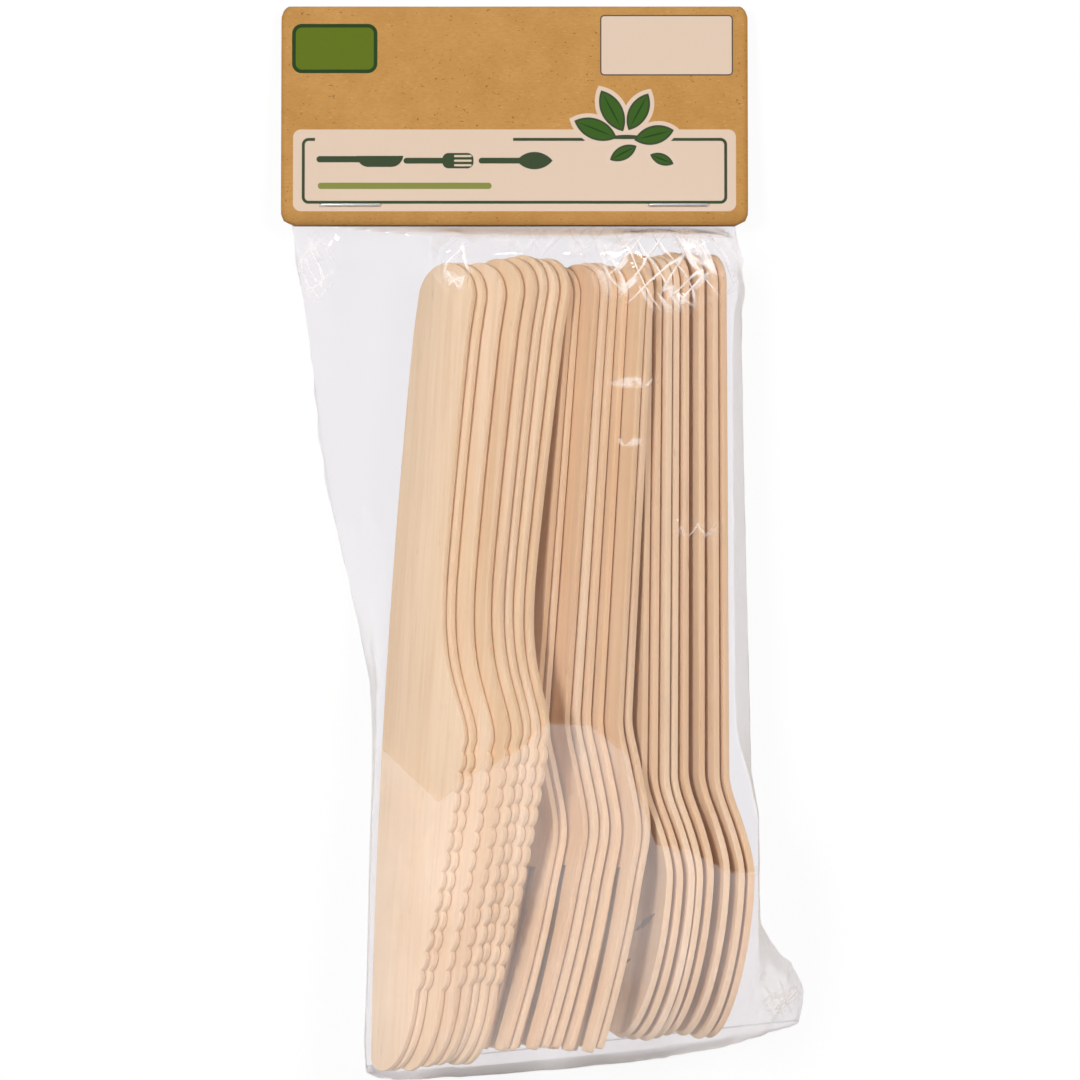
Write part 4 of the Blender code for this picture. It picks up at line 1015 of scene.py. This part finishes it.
def film_bag():
    """The bag's front follows the CAD film with fine creases. Its back lies flat, and its mouth is open.
    Close to the card and under it the front is left unsmoothed, so that it stays clear of the card."""
    surface = cad_surface("film_bag")
    grid, backs = bag_front(surface)
    close = grid[..., 1:2] * 1000 > SMOOTH_UP_TO
    grid = np.where(close, grid, smoothed(grid.copy()))
    down, right = np.gradient(grid, axis=0), np.gradient(grid, axis=1)
    normal = np.cross(down, right)
    normal /= np.linalg.norm(normal, axis=2, keepdims=True) + 1e-12
    normal *= np.where(normal[..., 2:3].mean() < 0, -1.0, 1.0)
    out = crinkle(grid)
    out[:, 0] = out[:, -1] = 0.0
    out[-1] = 0.0
    grid = grid + normal * out[..., None]
    lowest = np.array(backs)[:, None] + LEAST_HEIGHT
    grid[..., 2] = np.maximum(grid[..., 2], lowest)
    shape = bmesh.new()
    fronts = [[shape.verts.new(point) for point in row] for row in grid]
    lowers = []
    for row, base in zip(grid, backs):
        lowers.append([])
        for step in range(BACK_COLUMNS + 1):
            share = step / BACK_COLUMNS
            across, along = row[0, :2] * (1 - share) + row[-1, :2] * share
            lowers[-1].append(shape.verts.new((across, along, base + BACK_LIFT)))
    grid_rows(shape, fronts)
    grid_rows(shape, [row[::-1] for row in lowers])
    for upper, under, next_upper, next_under in zip(fronts, lowers, fronts[1:], lowers[1:]):
        shape.faces.new((upper[0], under[0], next_under[0], next_upper[0]))
        shape.faces.new((upper[-1], next_upper[-1], next_under[-1], under[-1]))
    shape.faces.new((*fronts[-1], *lowers[-1][::-1]))
    film = thing("film_bag_clear", mesh_of(shape, "film_bag_clear"), film_material(), SMOOTH_ANGLE)
    thick = film.modifiers.new("film", "SOLIDIFY")
    thick.thickness = SHEET
    thick.offset = -1.0
    settled(film)
    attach(film, "root")
    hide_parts("film_bag")


# Stage


def floor():
    """A white table that glows a little for the camera, so that it comes out white and keeps shadows."""
    mesh = bpy.data.meshes.new("table_top")
    corners = [(x * TABLE_HALF, y * TABLE_HALF, 0) for x, y in ((-1, -1), (1, -1), (1, 1), (-1, 1))]
    mesh.from_pydata(corners, [], [(0, 1, 2, 3)])
    n = Nodes("white_table")
    n.shader.inputs["Base Color"].default_value = TABLE_WHITE
    n.shader.inputs["Roughness"].default_value = 0.9
    n.shader.inputs["Specular IOR Level"].default_value = 0.1
    glow = n.add("ShaderNodeEmission")
    ray = n.add("ShaderNodeLightPath")
    seen = n.math("MULTIPLY", ray.outputs["Is Camera Ray"], TABLE_GLOW)
    both = n.add("ShaderNodeMixShader")
    n.put(both.inputs[0], seen)
    n.put(both.inputs[1], n.shader.outputs[0])
    n.put(both.inputs[2], glow.outputs[0])
    n.put(n.output.inputs["Surface"], both.outputs[0])
    table = bpy.data.objects.new("table_top", mesh)
    table.location = (0.0, 0.0, TABLE_LOW)
    mesh.materials.append(n.material)
    bpy.context.scene.collection.objects.link(table)


def lamp(name, place, size, power):
    """A rectangular lamp that looks at the middle of the pack."""
    light = bpy.data.lights.new(name, "AREA")
    light.shape = "RECTANGLE"
    light.size, light.size_y = size
    light.energy = power
    made = bpy.data.objects.new(name, light)
    made.location = place
    made.rotation_euler = (Vector((0.0, 0.0, 0.0)) - Vector(place)).to_track_quat("-Z", "Y").to_euler()
    made.visible_camera = False
    bpy.context.scene.collection.objects.link(made)
    return made


def room():
    """White for the camera, a warm plain level for diffuse rays, and paler near the walls than overhead
    for mirrored ones."""
    world = bpy.data.worlds.new("room")
    bpy.context.scene.world = world
    world.use_nodes = True
    tree = world.node_tree
    back = tree.nodes["Background"]
    ray = tree.nodes.new("ShaderNodeLightPath")
    bright = tree.nodes.new("ShaderNodeMath")
    bright.operation = "MAXIMUM"
    tree.links.new(ray.outputs["Is Camera Ray"], bright.inputs[0])
    tree.links.new(ray.outputs["Is Glossy Ray"], bright.inputs[1])
    level = tree.nodes.new("ShaderNodeMapRange")
    tree.links.new(bright.outputs[0], level.inputs[0])
    level.inputs[3].default_value = ROOM_LEVEL
    level.inputs[4].default_value = 1.0
    tint = tree.nodes.new("ShaderNodeMix")
    tint.data_type = "RGBA"
    tree.links.new(bright.outputs[0], tint.inputs[0])
    tint.inputs[6].default_value = ROOM_TINT
    tint.inputs[7].default_value = (1.0, 1.0, 1.0, 1.0)
    tree.links.new(tint.outputs[2], back.inputs["Color"])
    place = tree.nodes.new("ShaderNodeTexCoord")
    parts = tree.nodes.new("ShaderNodeSeparateXYZ")
    tree.links.new(place.outputs["Generated"], parts.inputs[0])
    sky = tree.nodes.new("ShaderNodeMapRange")
    tree.links.new(parts.outputs[2], sky.inputs[0])
    sky.inputs[1].default_value = SKY_FROM
    sky.inputs[3].default_value, sky.inputs[4].default_value = SKY_LEVELS
    only_gloss = tree.nodes.new("ShaderNodeMix")
    tree.links.new(ray.outputs["Is Glossy Ray"], only_gloss.inputs[0])
    tree.links.new(level.outputs[0], only_gloss.inputs[2])
    tree.links.new(sky.outputs[0], only_gloss.inputs[3])
    tree.links.new(only_gloss.outputs[0], back.inputs["Strength"])


def stage():
    floor()
    room()
    for name, place, size, power, unseen_by in LAMPS:
        setattr(lamp(name, place, size, power), unseen_by, False)
    camera = bpy.data.cameras.new("camera")
    camera.lens = CAMERA_LENS
    camera.sensor_width = CAMERA_SENSOR
    camera.clip_end = CAMERA_REACH
    eye = bpy.data.objects.new("camera", camera)
    eye.location = (0.0, 0.0, CAMERA_HEIGHT)
    bpy.context.scene.collection.objects.link(eye)
    bpy.context.scene.camera = eye
    bpy.context.scene.view_settings.view_transform = "Standard"


lay_wood()
header_card()
steel = wire_material()
staple("staple_left", steel)
staple("staple_right", steel)
film_bag()
stage()
